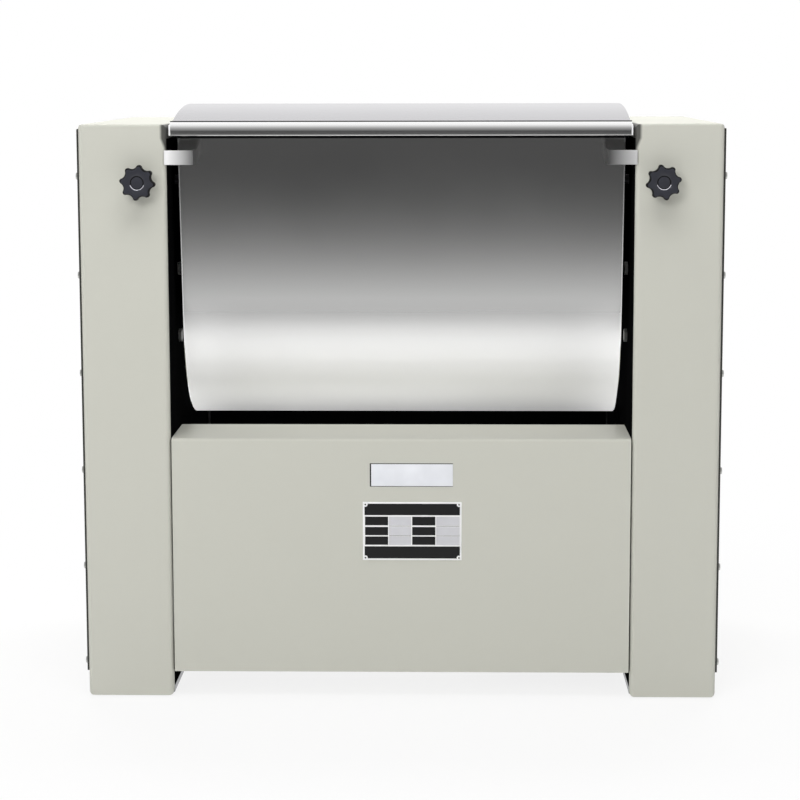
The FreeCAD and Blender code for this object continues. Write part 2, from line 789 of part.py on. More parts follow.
def lock_slot():
    """Outline of the slot that the lock finger swings through."""
    ease = 3 * S.finger_ease
    return rounded(
        FINGER_BACK - S.finger_thickness - ease,
        KNOB_HEIGHT - FINGER_LENGTH,
        FINGER_BACK + ease,
        KNOB_HEIGHT + FINGER_LENGTH,
        ease,
    )


def base_plates():
    """One plate in the foot of each tower, under its side plate."""
    edge = S.casing_flange + S.frame_gap
    width = S.tower_width - S.casing_sheet - S.frame_gap
    plates = [
        block(
            f"{name}_base_plate",
            (low_x(side, INNER, width), FRONT + edge, BASE_BOTTOM),
            (width, S.tower_depth - 2 * edge, S.base_thickness),
        )
        for name, side in SIDES.items()
    ]
    return subpart("base_plates", group("base_plates", *plates))


def foot_pads():
    """Four rubber pads that the machine stands on."""
    pads = []
    for name, side in SIDES.items():
        start = low_x(side, INNER + (S.tower_width - S.pad_length) / 2, S.pad_length)
        for end_name, y in (
            ("front", FRONT + S.pad_inset),
            ("back", BACK - S.pad_inset - S.pad_width),
        ):
            pads.append(
                block(
                    f"{name}_{end_name}_pad",
                    (start, y, 0),
                    (S.pad_length, S.pad_width, S.pad_height),
                )
            )
    return subpart("foot_pads", group("foot_pads", *pads))


# Panels and rails between the towers


def lower_front_panel():
    """Front panel and shelf, folded from one sheet."""
    sheet = S.panel_sheet
    bend = S.panel_bend
    rear = FRONT + S.shelf_depth
    outline = [
        (FRONT, S.panel_bottom),
        (FRONT + S.panel_foot, S.panel_bottom),
        (FRONT + S.panel_foot, S.panel_bottom + sheet),
        (FRONT + sheet, S.panel_bottom + sheet),
        (FRONT + sheet, PANEL_TOP - bend, bend - sheet, -1),
        (FRONT + bend, PANEL_TOP - sheet),
        (rear - bend, PANEL_TOP - sheet, bend - sheet, -1),
        (rear - sheet, PANEL_TOP - bend),
        (rear - sheet, PANEL_TOP - S.shelf_lip),
        (rear, PANEL_TOP - S.shelf_lip),
        (rear, PANEL_TOP - bend, bend, 1),
        (rear - bend, PANEL_TOP),
        (FRONT + bend, PANEL_TOP, bend, 1),
        (FRONT, PANEL_TOP - bend),
    ]
    return subpart(
        "lower_front_panel",
        prism("lower_front_panel", "YZ_Plane", [outline], -PANEL_END, 2 * PANEL_END),
    )


def back_panel():
    """Lower back panel with two columns of slots."""
    sheet = S.panel_sheet
    outline = [
        (BACK - S.panel_foot, S.panel_bottom),
        (BACK, S.panel_bottom),
        (BACK, BACK_PANEL_TOP),
        (BACK - S.back_panel_fold, BACK_PANEL_TOP),
        (BACK - S.back_panel_fold, BACK_PANEL_TOP - sheet),
        (BACK - sheet, BACK_PANEL_TOP - sheet),
        (BACK - sheet, S.panel_bottom + sheet),
        (BACK - S.panel_foot, S.panel_bottom + sheet),
    ]
    sheet_body = prism("back_panel_sheet", "YZ_Plane", [outline], -PANEL_END, 2 * PANEL_END)
    slots = []
    for column in (-1, 1):
        for row in range(6):
            slots.append(
                block(
                    f"back_panel_slot_{column}_{row}",
                    (
                        column * S.louvre_spread - S.louvre_length / 2,
                        BACK - 2 * sheet,
                        S.louvre_first + row * S.louvre_pitch,
                    ),
                    (S.louvre_length, 3 * sheet, S.louvre_height),
                )
            )
    return subpart("back_panel", cut("back_panel", sheet_body, *slots))


def base_rail(name, direction):
    """Channel between the side plates, open towards the middle of the machine."""
    wall = S.rail_sheet
    outer = direction * S.rail_spread
    web = direction * (S.rail_spread - wall)
    inner = direction * (S.rail_spread - S.rail_width)
    low, high = RAIL_BOTTOM, RAIL_BOTTOM + S.rail_height
    outline = [
        (outer, low),
        (outer, high),
        (inner, high),
        (inner, high - wall),
        (web, high - wall),
        (web, low + wall),
        (inner, low + wall),
        (inner, low),
    ]
    return subpart(name, prism(name, "YZ_Plane", [outline], -INNER, 2 * INNER))


def label_plates():
    """Two bare plates on the front panel and the rivets of the larger one."""
    plates = (
        ("maker_plate", S.maker_width, S.maker_height, PANEL_TOP - S.maker_drop),
        ("data_plate", S.data_width, S.data_height, PANEL_TOP - S.data_drop),
    )
    for name, width, height, centre in plates:
        corner = (S.label_centre - width / 2, FRONT - S.label_sheet, centre - height / 2)
        subpart(name, block(name, corner, (width, S.label_sheet, height)))
    rivets = []
    for across in (-1, 1):
        for up in (-1, 1):
            start = (
                S.label_centre + across * (S.data_width / 2 - S.rivet_edge),
                FRONT - S.label_sheet - S.rivet_height,
                PANEL_TOP - S.data_drop + up * (S.data_height / 2 - S.rivet_edge),
            )
            rivets.append(
                cone(
                    f"rivet_{across}_{up}",
                    "y",
                    start,
                    S.rivet_radius * 0.6,
                    S.rivet_radius,
                    S.rivet_height,
                )
            )
    return subpart("data_plate_rivets", group("data_plate_rivets", *rivets))


# Bearings of the mixing shaft

FLANGE_OUTER = PLATE_OUTER + S.flange_thickness
BARREL_END = FLANGE_OUTER + S.barrel_length
JOURNAL_END = INNER - S.spigot_reach
COUNTER_BARREL_END = FLANGE_OUTER + S.counter_barrel_length


def bearing_housing(name, side):
    """Flange, barrel and the journal that the bin hangs on, all bored for the shaft."""
    axis = S.axis_height
    corners = rounded(
        -S.housing_length / 2,
        axis - S.housing_height / 2,
        S.housing_length / 2,
        axis + S.housing_height / 2,
        S.shaft_radius,
    )
    holes = [
        (forward * S.bolt_spread, axis + up * S.bolt_rise, S.bolt_radius + S.seat_gap)
        for forward in (-1, 1)
        for up in (-1, 1)
    ]
    flange = prism(
        f"{name}_flange",
        "YZ_Plane",
        [corners],
        low_x(side, PLATE_OUTER, S.flange_thickness),
        S.flange_thickness,
        holes,
    )
    length = BARREL_END - JOURNAL_END
    start = low_x(side, JOURNAL_END, length)
    barrel = rod(
        f"{name}_barrel",
        "x",
        (low_x(side, FLANGE_OUTER, S.barrel_length), 0, axis),
        S.barrel_radius,
        S.barrel_length,
    )
    journal_length = FLANGE_OUTER - JOURNAL_END
    journal = rod(
        f"{name}_journal",
        "x",
        (low_x(side, JOURNAL_END, journal_length), 0, axis),
        S.spigot_radius,
        journal_length,
    )
    bore = rod(f"{name}_bore", "x", (start, 0, axis), S.shaft_radius + S.housing_bore_clear, length)
    bearing_seat = rod(
        f"{name}_bearing_seat",
        "x",
        (low_x(side, BARREL_END - S.bearing_width, S.bearing_width), 0, axis),
        S.bearing_radius + S.running_gap,
        S.bearing_width,
    )
    seal_seat = rod(
        f"{name}_seal_seat",
        "x",
        (low_x(side, JOURNAL_END, S.seal_width), 0, axis),
        S.seal_radius + S.running_gap,
        S.seal_width,
    )
    casting = fuse(f"{name}_casting", flange, barrel, journal)
    return subpart(name, cut(name, casting, bore, bearing_seat, seal_seat))


def housing_bolts():
    """Bolts that hold the bearing housings to the side plates, with their nuts."""
    bolts = []
    for side_name, side in SIDES.items():
        for forward in (-1, 1):
            for up in (-1, 1):
                name = f"housing_bolt_{side_name}_{forward}_{up}"
                y = forward * S.bolt_spread
                z = S.axis_height + up * S.bolt_rise
                head = hexagon(
                    f"{name}_head",
                    "x",
                    (low_x(side, INNER - S.bolt_head_height, S.bolt_head_height), y, z),
                    S.bolt_head_radius,
                    S.bolt_head_height,
                )
                grip = S.plate_thickness + S.flange_thickness + 2 * S.bolt_radius
                shank = rod(
                    f"{name}_shank", "x", (low_x(side, INNER, grip), y, z), S.bolt_radius, grip
                )
                nut = hexagon(
                    f"{name}_nut",
                    "x",
                    (low_x(side, FLANGE_OUTER, S.bolt_radius * 1.6), y, z),
                    S.bolt_head_radius,
                    S.bolt_radius * 1.6,
                )
                bolts.append(fuse(name, head, shank, nut))
    return subpart("housing_bolts", group("housing_bolts", *bolts))


def ball_bearings():
    """Sealed ball bearings of the mixing shaft and of the countershaft."""
    rings = [
        ring(
            f"{name}_shaft_bearing",
            "x",
            (low_x(side, BARREL_END - S.bearing_width, S.bearing_width), 0, S.axis_height),
            S.bearing_radius,
            S.shaft_radius + S.running_gap,
            S.bearing_width,
        )
        for name, side in SIDES.items()
    ]
    rings += [
        ring(
            f"counter_bearing_{number}",
            "x",
            (COUNTER_BARREL_END - (number + 1) * S.counter_bearing_width, 0, COUNTER_HEIGHT),
            S.counter_bearing_radius,
            S.counter_radius + S.running_gap,
            S.counter_bearing_width,
        )
        for number in range(2)
    ]
    return subpart("ball_bearings", group("ball_bearings", *rings))


def shaft_seals():
    """Lip seals that keep dough out of the journals."""
    rings = [
        ring(
            f"{name}_shaft_seal",
            "x",
            (low_x(side, JOURNAL_END, S.seal_width), 0, S.axis_height),
            S.seal_radius,
            S.shaft_radius + S.running_gap,
            S.seal_width,
        )
        for name, side in SIDES.items()
    ]
    return subpart("shaft_seals", group("shaft_seals", *rings))


# Rotor in the bin

GEAR_START = INNER + S.gear_start
GEAR_END = GEAR_START + S.gear_width
SHAFT_INNER_END = BIN_END - S.shaft_inner_reach
ARM_OUTER = JOURNAL_END - S.arm_gap
ARM_INNER = ARM_OUTER - S.arm_thickness


def mixing_shaft(name, side):
    """Stub shaft from the rotor arm out through its bearing housing."""
    far_end = GEAR_END + S.shaft_radius * 0.4 if side > 0 else BARREL_END
    length = far_end - SHAFT_INNER_END
    start = (low_x(side, SHAFT_INNER_END, length), 0, S.axis_height)
    return subpart(name, rod(name, "x", start, S.shaft_radius, length))


def rotor_arm(name, side):
    """Arm across the shaft that carries an end of each blade."""
    start = low_x(side, ARM_INNER, S.arm_thickness)
    reach = S.rotor_radius + S.blade_radius
    half = S.arm_width / 2
    bar = prism(
        f"{name}_bar",
        "YZ_Plane",
        [rounded(-reach, -half, reach, half, half * 0.95)],
        start,
        S.arm_thickness,
    )
    hub = rod(f"{name}_hub", "x", (start, 0, 0), S.rotor_hub_radius, S.arm_thickness)
    socket_length = ARM_OUTER - SHAFT_INNER_END
    socket = rod(
        f"{name}_socket",
        "x",
        (low_x(side, SHAFT_INNER_END, socket_length), 0, 0),
        S.shaft_radius + S.running_gap,
        socket_length,
    )
    arm = cut(name, fuse(f"{name}_blank", bar, hub), socket)
    angle = float(S.rotor_rest) + (float(S.blade_turn) if side > 0 else 0)
    place(arm, (0, 0, S.axis_height), FreeCAD.Rotation(Vector(1, 0, 0), angle))
    return subpart(name, arm)


def flat_sided(radius, centre, normal):
    """Outline of a bar with eight flats, square to a direction."""
    outward = Vector(1, 0, 0)
    across = normal.normalize().cross(outward)
    corners = []
    for number in range(9):
        angle = math.radians(45 * number + 22.5)
        corners.append(centre + outward * radius * math.cos(angle) + across * radius * math.sin(angle))
    return Part.makePolygon(corners)


def mixing_blade(name, start_angle):
    """Bar that winds around the shaft from one arm to the other."""
    span = 2 * float(ARM_INNER)
    radius = float(S.rotor_radius)
    extra = 0.1
    turn = float(S.blade_turn)
    pitch = span * 360 / turn
    lead = span * extra
    path = Part.makeHelix(pitch, span + 2 * lead, radius)
    tangent = Vector(0, 2 * math.pi * radius, pitch)
    section = flat_sided(float(S.blade_radius), Vector(radius, 0, 0), tangent)
    bar = Part.Wire(path.Edges).makePipeShell([section], True, True)
    bar.translate(Vector(0, 0, -span / 2 - lead))
    room = Part.makeCylinder(2 * radius, span, Vector(0, 0, -span / 2))
    bar = bar.common(room).Solids[0]
    blade = formed_shape(name, bar)
    to_shaft = FreeCAD.Rotation(Vector(1, 1, 1), 120)
    first_angle = FreeCAD.Rotation(Vector(0, 0, 1), start_angle - turn * extra)
    rest = FreeCAD.Rotation(Vector(1, 0, 0), float(S.rotor_rest))
    blade.Placement = FreeCAD.Placement(Vector(), rest * to_shaft * first_angle)
    blade.setExpression("Placement.Base.z", text_of(S.axis_height))
    return subpart(name, blade)


# Drive


def involute_flank(base, radius):
    """Angle by which an involute has unwound where it reaches the radius."""
    if radius <= base:
        return 0.0
    roll = math.sqrt((radius / base) ** 2 - 1)
    return roll - math.atan(roll)


def gear_wire(teeth):
    """Closed outline of a spur gear; its first tooth points along local X."""
    module = float(S.gear_module)
    pitch = module * teeth / 2
    base = pitch * math.cos(math.radians(float(S.pressure_angle)))
    tip = pitch + module
    root = pitch - 1.25 * module
    half_tooth = (math.pi * module / 2 - float(S.tooth_play)) / (2 * pitch)
    at_pitch = involute_flank(base, pitch)

    def at(radius, angle):
        return Vector(radius * math.cos(angle), radius * math.sin(angle), 0)

    def flank(radius):
        return half_tooth + at_pitch - involute_flank(base, radius)

    foot = max(base, root)
    edges = []
    step = 2 * math.pi / teeth
    for tooth in range(teeth):
        middle = tooth * step
        after = middle + step
        rising = [at(r, middle - flank(r)) for r in (foot, (foot + tip) / 2, tip)]
        falling = [at(r, middle + flank(r)) for r in (tip, (foot + tip) / 2, foot)]
        edges.append(Part.Arc(*rising).toShape())
        edges.append(Part.Arc(rising[2], at(tip, middle), falling[0]).toShape())
        edges.append(Part.Arc(*falling).toShape())
        low, low_after = at(root, middle + flank(foot)), at(root, after - flank(foot))
        if foot > root:
            edges.append(Part.makeLine(falling[2], low))
        edges.append(Part.makeLine(low, low_after))
        if foot > root:
            edges.append(Part.makeLine(low_after, at(foot, after - flank(foot))))
    return Part.Wire(edges)


def tube(outer, inner, start, length):
    """A tube along local Z."""
    return Part.makeCylinder(outer, length, Vector(0, 0, start)).cut(
        Part.makeCylinder(inner, length, Vector(0, 0, start))
    )


def large_gear():
    """Gear on the mixing shaft: toothed rim, drilled web and hub."""
    width = float(S.gear_width)
    web = float(S.gear_web)
    hub = float(S.gear_hub_radius)
    rim = float(S.gear_module) * (float(S.gear_teeth) / 2 - 1.25) - float(S.gear_rim)
    shape = Part.Face(gear_wire(int(float(S.gear_teeth)))).extrude(Vector(0, 0, width))
    recess = (width - web) / 2
    shape = shape.cut(tube(rim, hub, 0, recess)).cut(tube(rim, hub, width - recess, recess))
    for hole in range(int(float(S.gear_holes))):
        angle = 2 * math.pi * hole / float(S.gear_holes)
        circle = float(S.gear_hole_circle)
        centre = Vector(circle * math.cos(angle), circle * math.sin(angle), 0)
        shape = shape.cut(Part.makeCylinder(float(S.gear_hole_radius), width, centre))
    bore = float(S.shaft_radius) + float(S.running_gap)
    shape = shape.cut(Part.makeCylinder(bore, width))
    gear = formed_shape("large_gear", shape)
    tooth_down = FreeCAD.Rotation(Vector(0, 0, 1), -90)
    place(gear, (GEAR_START, 0, S.axis_height), FreeCAD.Rotation(Vector(1, 1, 1), 120) * tooth_down)
    return subpart("large_gear", gear)


def pinion():
    """Pinion on the countershaft, with a gap turned up to the large gear's lowest tooth."""
    teeth = int(float(S.pinion_teeth))
    width = float(S.gear_width + S.pinion_extra)
    shape = Part.Face(gear_wire(teeth)).extrude(Vector(0, 0, width))
    bore = float(S.counter_radius) + float(S.running_gap)
    shape = shape.cut(Part.makeCylinder(bore, width))
    gear = formed_shape("pinion", shape)
    gap_up = FreeCAD.Rotation(Vector(0, 0, 1), 90 + 180 / teeth)
    corner = (GEAR_START - S.pinion_extra / 2, 0, COUNTER_HEIGHT)
    place(gear, corner, FreeCAD.Rotation(Vector(1, 1, 1), 120) * gap_up)
    return subpart("pinion", gear)


def countershaft_pieces():
    """Countershaft and its housing."""
    height = COUNTER_HEIGHT
    flange = rod(
        "counter_flange",
        "x",
        (PLATE_OUTER, 0, height),
        S.counter_flange_radius,
        S.flange_thickness,
    )
    barrel = rod(
        "counter_barrel",
        "x",
        (FLANGE_OUTER, 0, height),
        S.counter_housing_radius,
        S.counter_barrel_length,
    )
    seats = rod(
        "counter_seats",
        "x",
        (COUNTER_BARREL_END - 2 * S.counter_bearing_width, 0, height),
        S.counter_bearing_radius + S.running_gap,
        2 * S.counter_bearing_width,
    )
    bore = rod(
        "counter_bore",
        "x",
        (PLATE_OUTER, 0, height),
        S.counter_radius * 1.5,
        S.flange_thickness,
    )
    subpart(
        "countershaft_housing",
        cut("countershaft_housing", fuse("counter_casting", flange, barrel), seats, bore),
    )
    length = GEAR_END + S.pinion_extra - PLATE_OUTER
    return subpart(
        "countershaft",
        rod("countershaft", "x", (PLATE_OUTER, 0, height), S.counter_radius, length),
    )


PULLEY_START = INNER + S.pulley_start


def groove(radius):
    """Corners of a belt groove, from the wide end of the pulley back to its start."""
    middle = S.pulley_width / 2
    floor = radius - S.groove_depth
    return [
        (middle + S.groove_top / 2, radius),
        (middle + S.groove_bottom / 2, floor),
        (middle - S.groove_bottom / 2, floor),
        (middle - S.groove_top / 2, radius),
    ]


def large_pulley():
    """Pulley on the countershaft: grooved rim, web and hub."""
    width = S.pulley_width
    bore = S.counter_radius + S.running_gap
    rim = S.pulley_radius - S.pulley_rim
    web_start = (width - S.pulley_web) / 2
    web_end = (width + S.pulley_web) / 2
    outline = [
        (0, bore),
        (width, bore),
        (width, S.pulley_hub_radius),
        (web_end, S.pulley_hub_radius),
        (web_end, rim),
        (width, rim),
        (width, S.pulley_radius),
        *groove(S.pulley_radius),
        (0, S.pulley_radius),
        (0, rim),
        (web_start, rim),
        (web_start, S.pulley_hub_radius),
        (0, S.pulley_hub_radius),
    ]
    centre = (PULLEY_START, 0, COUNTER_HEIGHT)
    return subpart("large_pulley", turned("large_pulley", "x", centre, outline))


def motor_pulley():
    """Small pulley on the motor shaft."""
    width = S.pulley_width
    bore = S.motor_shaft_radius + S.running_gap
    outline = [
        (0, bore),
        (width, bore),
        (width, S.small_pulley_radius),
        *groove(S.small_pulley_radius),
        (0, S.small_pulley_radius),
    ]
    centre = (PULLEY_START, S.motor_back, S.motor_height)
    return subpart("motor_pulley", turned("motor_pulley", "x", centre, outline))


def drive_belt():
    """V-belt around both pulleys, clear of the grooves by the seat gap."""
    height = float(S.belt_height)
    sink = float(S.belt_sink)
    large = float(S.pulley_radius) - sink - height / 2
    small = float(S.small_pulley_radius) - sink - height / 2
    top = Vector(0, float(COUNTER_HEIGHT), 0)
    low = Vector(float(S.motor_back), float(S.motor_height), 0)
    across = low - top
    heading = math.atan2(across.y, across.x)
    lean = math.acos((large - small) / across.Length)
    points = {}
    for name, centre, radius in (("large", top, large), ("small", low, small)):
        for end, angle in (("left", heading + lean), ("right", heading - lean)):
            points[name, end] = centre + Vector(math.cos(angle), math.sin(angle), 0) * radius
    behind = top - Vector(math.cos(heading), math.sin(heading), 0) * large
    beyond = low + Vector(math.cos(heading), math.sin(heading), 0) * small
    path = Part.Wire(
        [
            Part.makeLine(points["large", "right"], points["small", "right"]),
            Part.Arc(points["small", "right"], beyond, points["small", "left"]).toShape(),
            Part.makeLine(points["small", "left"], points["large", "left"]),
            Part.Arc(points["large", "left"], behind, points["large", "right"]).toShape(),
        ]
    )
    slant = (float(S.groove_top) - float(S.groove_bottom)) / float(S.groove_depth) / 2
    gap = float(S.seat_gap)
    wide = float(S.groove_top) / 2 - slant * sink - gap
    narrow = wide - slant * height
    start = points["large", "right"]
    outward = (start - top).normalize() * (height / 2)
    sideways = Vector(0, 0, 1)
    section = Part.makePolygon(
        [
            start + outward + sideways * wide,
            start + outward - sideways * wide,
            start - outward - sideways * narrow,
            start - outward + sideways * narrow,
            start + outward + sideways * wide,
        ]
    )
    belt = formed_shape("drive_belt", path.makePipeShell([section], True, False))
    place(belt, (PULLEY_START + S.pulley_width / 2, 0, 0), FreeCAD.Rotation(Vector(1, 1, 1), 120))
    return subpart("drive_belt", belt)


# Motor

MOTOR_FACE = INNER - S.motor_front
MOTOR_TAIL = MOTOR_FACE - S.motor_length
MOTOR_BASE = RAIL_BOTTOM + S.rail_height
FOOT_BASE = MOTOR_BASE + S.motor_plate


def finned_profile():
    """Outline of the motor frame with its cooling fins, in local X and Y."""
    inner = float(S.motor_radius)
    outer = inner + float(S.fin_height)
    count = int(float(S.fin_count))
    half = float(S.fin_thickness) / 2
    edges = []
    for fin in range(count):
        turn = FreeCAD.Rotation(Vector(0, 0, 1), fin * 360 / count)
        after = FreeCAD.Rotation(Vector(0, 0, 1), (fin + 1) * 360 / count)
        valley = FreeCAD.Rotation(Vector(0, 0, 1), (fin + 0.5) * 360 / count)
        foot = math.sqrt(inner * inner - half * half)
        corners = [
            Vector(foot, -half, 0),
            Vector(outer, -half, 0),
            Vector(outer, half, 0),
            Vector(foot, half, 0),
        ]
        placed = [turn.multVec(corner) for corner in corners]
        for first, second in zip(placed, placed[1:]):
            edges.append(Part.makeLine(first, second))
        floor = valley.multVec(Vector(inner, 0, 0))
        edges.append(Part.Arc(placed[3], floor, after.multVec(corners[0])).toShape())
    return Part.Wire(edges)


def motor_frame():
    """Finned motor frame on its two feet, with the end shield screwed to it."""
    length = float(S.motor_length)
    shape = Part.Face(finned_profile()).extrude(Vector(0, 0, length))
    fins = formed_shape("motor_fins", shape)
    place(
        fins, (MOTOR_TAIL, S.motor_back, S.motor_height), FreeCAD.Rotation(Vector(1, 1, 1), 120)
    )
    pieces = [fins]
    foot_start = MOTOR_TAIL + (S.motor_length - S.foot_length) / 2
    for direction in (-1, 1):
        centre = S.motor_back + direction * S.foot_spread
        pieces.append(
            block(
                f"motor_foot_{direction}",
                (foot_start, centre - S.foot_width / 2, FOOT_BASE),
                (S.foot_length, S.foot_width, S.foot_thickness),
            )
        )
        inner_edge = S.motor_back + direction * (S.foot_spread - S.foot_width / 4)
        pieces.append(
            block(
                f"motor_leg_{direction}",
                (foot_start, inner_edge - S.foot_thickness / 2, FOOT_BASE),
                (
                    S.foot_length,
                    S.foot_thickness,
                    S.motor_height - S.foot_spread / 3 - FOOT_BASE,
                ),
            )
        )
    return subpart("motor_frame", group("motor_frame", fuse("motor_body", *pieces), motor_shield()))


def motor_shield():
    """Front end shield of the motor, bored for its shaft."""
    start = (MOTOR_FACE, S.motor_back, S.motor_height)
    body = cone(
        "motor_shield_body", "x", start, S.shield_radius, S.shield_radius * 0.8, S.shield_length
    )
    bore = rod(
        "motor_shield_bore",
        "x",
        start,
        S.motor_shaft_radius + S.running_gap,
        S.shield_length,
    )
    return cut("motor_shield", body, bore)


def motor_fan_cover():
    """Pressed cup over the motor's fan, with air holes in its end."""
    radius = S.motor_radius + S.fin_height
    sheet = S.panel_sheet
    start = MOTOR_TAIL - S.fan_cover_length
    centre = (S.motor_back, S.motor_height)
    cup = cut(
        "fan_cover_cup",
        rod("fan_cover_outside", "x", (start, *centre), radius, S.fan_cover_length),
        rod("fan_cover_inside", "x", (start + sheet, *centre), radius - sheet, S.fan_cover_length),
    )
    holes = []
    for number in range(6):
        angle = 60 * number
        holes.append(
            rod(
                f"fan_cover_hole_{number}",
                "x",
                (
                    start - sheet,
                    S.motor_back + radius / 2 * math.cos(math.radians(angle)),
                    S.motor_height + radius / 2 * math.sin(math.radians(angle)),
                ),
                radius / 6,
                3 * sheet,
            )
        )
    return subpart("motor_fan_cover", cut("motor_fan_cover", cup, *holes))


def motor_shaft():
    """Motor shaft from inside the end shield to the end of its pulley."""
    length = PULLEY_START + S.pulley_width - MOTOR_FACE
    start = (MOTOR_FACE, S.motor_back, S.motor_height)
    return subpart("motor_shaft", rod("motor_shaft", "x", start, S.motor_shaft_radius, length))


def terminal_box():
    """Terminal box on top of the motor frame."""
    corner = (
        MOTOR_TAIL + (S.motor_length - S.terminal_width) / 2,
        S.motor_back - S.terminal_width / 2,
        S.motor_height + S.motor_radius + S.fin_height + S.seat_gap,
    )
    extent = (S.terminal_width, S.terminal_width, S.terminal_height)
    return subpart("motor_terminal_box", block("motor_terminal_box", corner, extent))


def motor_plate():
    """Plate across the two rails that the motor stands on."""
    overhang = S.foot_width
    start = -S.rail_spread
    end = S.motor_back + S.foot_spread + overhang
    foot_start = MOTOR_TAIL + (S.motor_length - S.foot_length) / 2
    return subpart(
        "motor_plate",
        block(
            "motor_plate",
            (foot_start - overhang / 2, start, MOTOR_BASE),
            (S.foot_length + overhang, end - start, S.motor_plate),
        ),
    )


# Bin


def wall_reach(rise, radius):
    """How far in front of the shaft the bin's straight wall is at a rise above it."""
    return (radius + rise * sine(S.wall_slope)) / cosine(S.wall_slope)


def tangent_point(radius, direction):
    """Where the round bottom meets the straight wall, in front (-1) or behind (1)."""
    return (
        direction * radius * cosine(S.wall_slope),
        S.axis_height - radius * sine(S.wall_slope),
    )


def bin_wrapper():
    """U-shaped sheet that makes the front, bottom and back of the bin."""
    outer = S.bin_radius
    inner = S.bin_radius - S.bin_sheet
    rise = S.bin_rise - S.rim_thickness
    top = S.axis_height + rise
    outline = [
        (-wall_reach(rise, outer), top),
        (*tangent_point(outer, -1), outer, 1),
        tangent_point(outer, 1),
        (wall_reach(rise, outer), top),
        (wall_reach(rise, inner), top),
        (*tangent_point(inner, 1), inner, -1),
        tangent_point(inner, -1),
        (-wall_reach(rise, inner), top),
    ]
    return subpart(
        "bin_wrapper", prism("bin_wrapper", "YZ_Plane", [outline], -BIN_INNER, 2 * BIN_INNER)
    )


def bin_end(name, side):
    """End plate of the bin, bored clear of the journal."""
    outer = S.bin_radius
    rise = S.bin_rise - S.rim_thickness
    top = S.axis_height + rise
    outline = [
        (-wall_reach(rise, outer), top),
        (*tangent_point(outer, -1), outer, 1),
        tangent_point(outer, 1),
        (wall_reach(rise, outer), top),
    ]
    bore = (0, S.axis_height, S.spigot_radius + S.hub_clear)
    start = low_x(side, BIN_INNER, S.bin_sheet)
    return subpart(name, prism(name, "YZ_Plane", [outline], start, S.bin_sheet, [bore]))


def bin_rim():
    """Flat flange around the mouth of the bin."""
    outer = S.bin_radius
    inner = S.bin_radius - S.bin_sheet
    reach = wall_reach(S.bin_rise, outer) + S.rim_width
    mouth = wall_reach(S.bin_rise - S.rim_thickness, inner)
    end = BIN_END + S.rim_thickness
    outlines = [
        rounded(-end, -reach, end, reach, S.rim_thickness),
        rounded(-BIN_INNER, -mouth, BIN_INNER, mouth, S.bin_sheet),
    ]
    return subpart(
        "bin_rim", prism("bin_rim", "XY_Plane", outlines, RIM - S.rim_thickness, S.rim_thickness)
    )


def bin_hubs():
    """Rings on the bin's ends that run on the journals."""
    rings = [
        ring(
            f"{name}_bin_hub",
            "x",
            (low_x(side, BIN_END, S.hub_thickness), 0, S.axis_height),
            S.hub_radius,
            S.spigot_radius + S.running_gap,
            S.hub_thickness,
        )
        for name, side in SIDES.items()
    ]
    return subpart("bin_hubs", group("bin_hubs", *rings))


def lock_stubs():
    """Studs on the bin's ends that the lock fingers catch."""
    studs = [
        rod(
            f"{name}_lock_stub",
            "x",
            (low_x(side, BIN_END, S.stub_reach), -S.stub_front, KNOB_HEIGHT),
            S.stub_radius,
            S.stub_reach,
        )
        for name, side in SIDES.items()
    ]
    return subpart("lock_stubs", group("lock_stubs", *studs))


def stop_ear(name, side, inner):
    """Plate that laps over the front of a tower, on a leg from the bin's front wall."""
    low = EAR_CENTRE - S.ear_height / 2
    high = low + S.ear_height
    back = FRONT - S.seat_gap
    face = block(
        f"{name}_face",
        (low_x(side, inner, S.ear_outer - inner), back - S.ear_sheet, low),
        (S.ear_outer - inner, S.ear_sheet, S.ear_height),
    )
    foot, head = (-wall_reach(at - S.axis_height, S.bin_radius) for at in (low, high))
    outline = [(back, low), (foot, low), (head, high), (back, high)]
    leg = prism(
        f"{name}_leg",
        "YZ_Plane",
        [outline],
        low_x(side, inner + S.ear_leg, S.ear_sheet),
        S.ear_sheet,
    )
    return fuse(name, face, leg)


def stop_ears():
    """Ears that hold the upright bin against the towers."""
    ears = [
        stop_ear("left_stop_ear", -1, S.ear_left_inner),
        stop_ear("right_stop_ear", 1, S.ear_right_inner),
    ]
    return subpart("stop_ears", group("stop_ears", *ears))


def hinge_cheeks():
    """Cheeks under the bin's back rim that hold the lid's hinge pins."""
    reach = wall_reach(S.bin_rise, S.bin_radius)
    low = RIM - S.rim_thickness
    boss = 2 * S.pin_radius
    cheeks = []
    for hand in (-1, 1):
        for edge in (-1, 1):
            name = f"hinge_cheek_{hand}_{edge}"
            centre = hand * S.hinge_spread
            inner = S.knuckle_length / 2 + S.seat_gap
            start = centre + (inner if edge > 0 else -inner - S.cheek_thickness)
            outline = [
                (reach, low - boss),
                (S.hinge_back, low - boss),
                (S.hinge_back + boss, low),
                (S.hinge_back + boss, HINGE_HEIGHT, boss, 1),
                (S.hinge_back, HINGE_HEIGHT + boss, boss, 1),
                (S.hinge_back - boss, HINGE_HEIGHT),
                (S.hinge_back - boss, low),
                (reach, low),
            ]
            cheeks.append(
                prism(
                    name,
                    "YZ_Plane",
                    [outline],
                    start,
                    S.cheek_thickness,
                    [(S.hinge_back, HINGE_HEIGHT, S.pin_radius + S.running_gap)],
                )
            )
    return cheeks


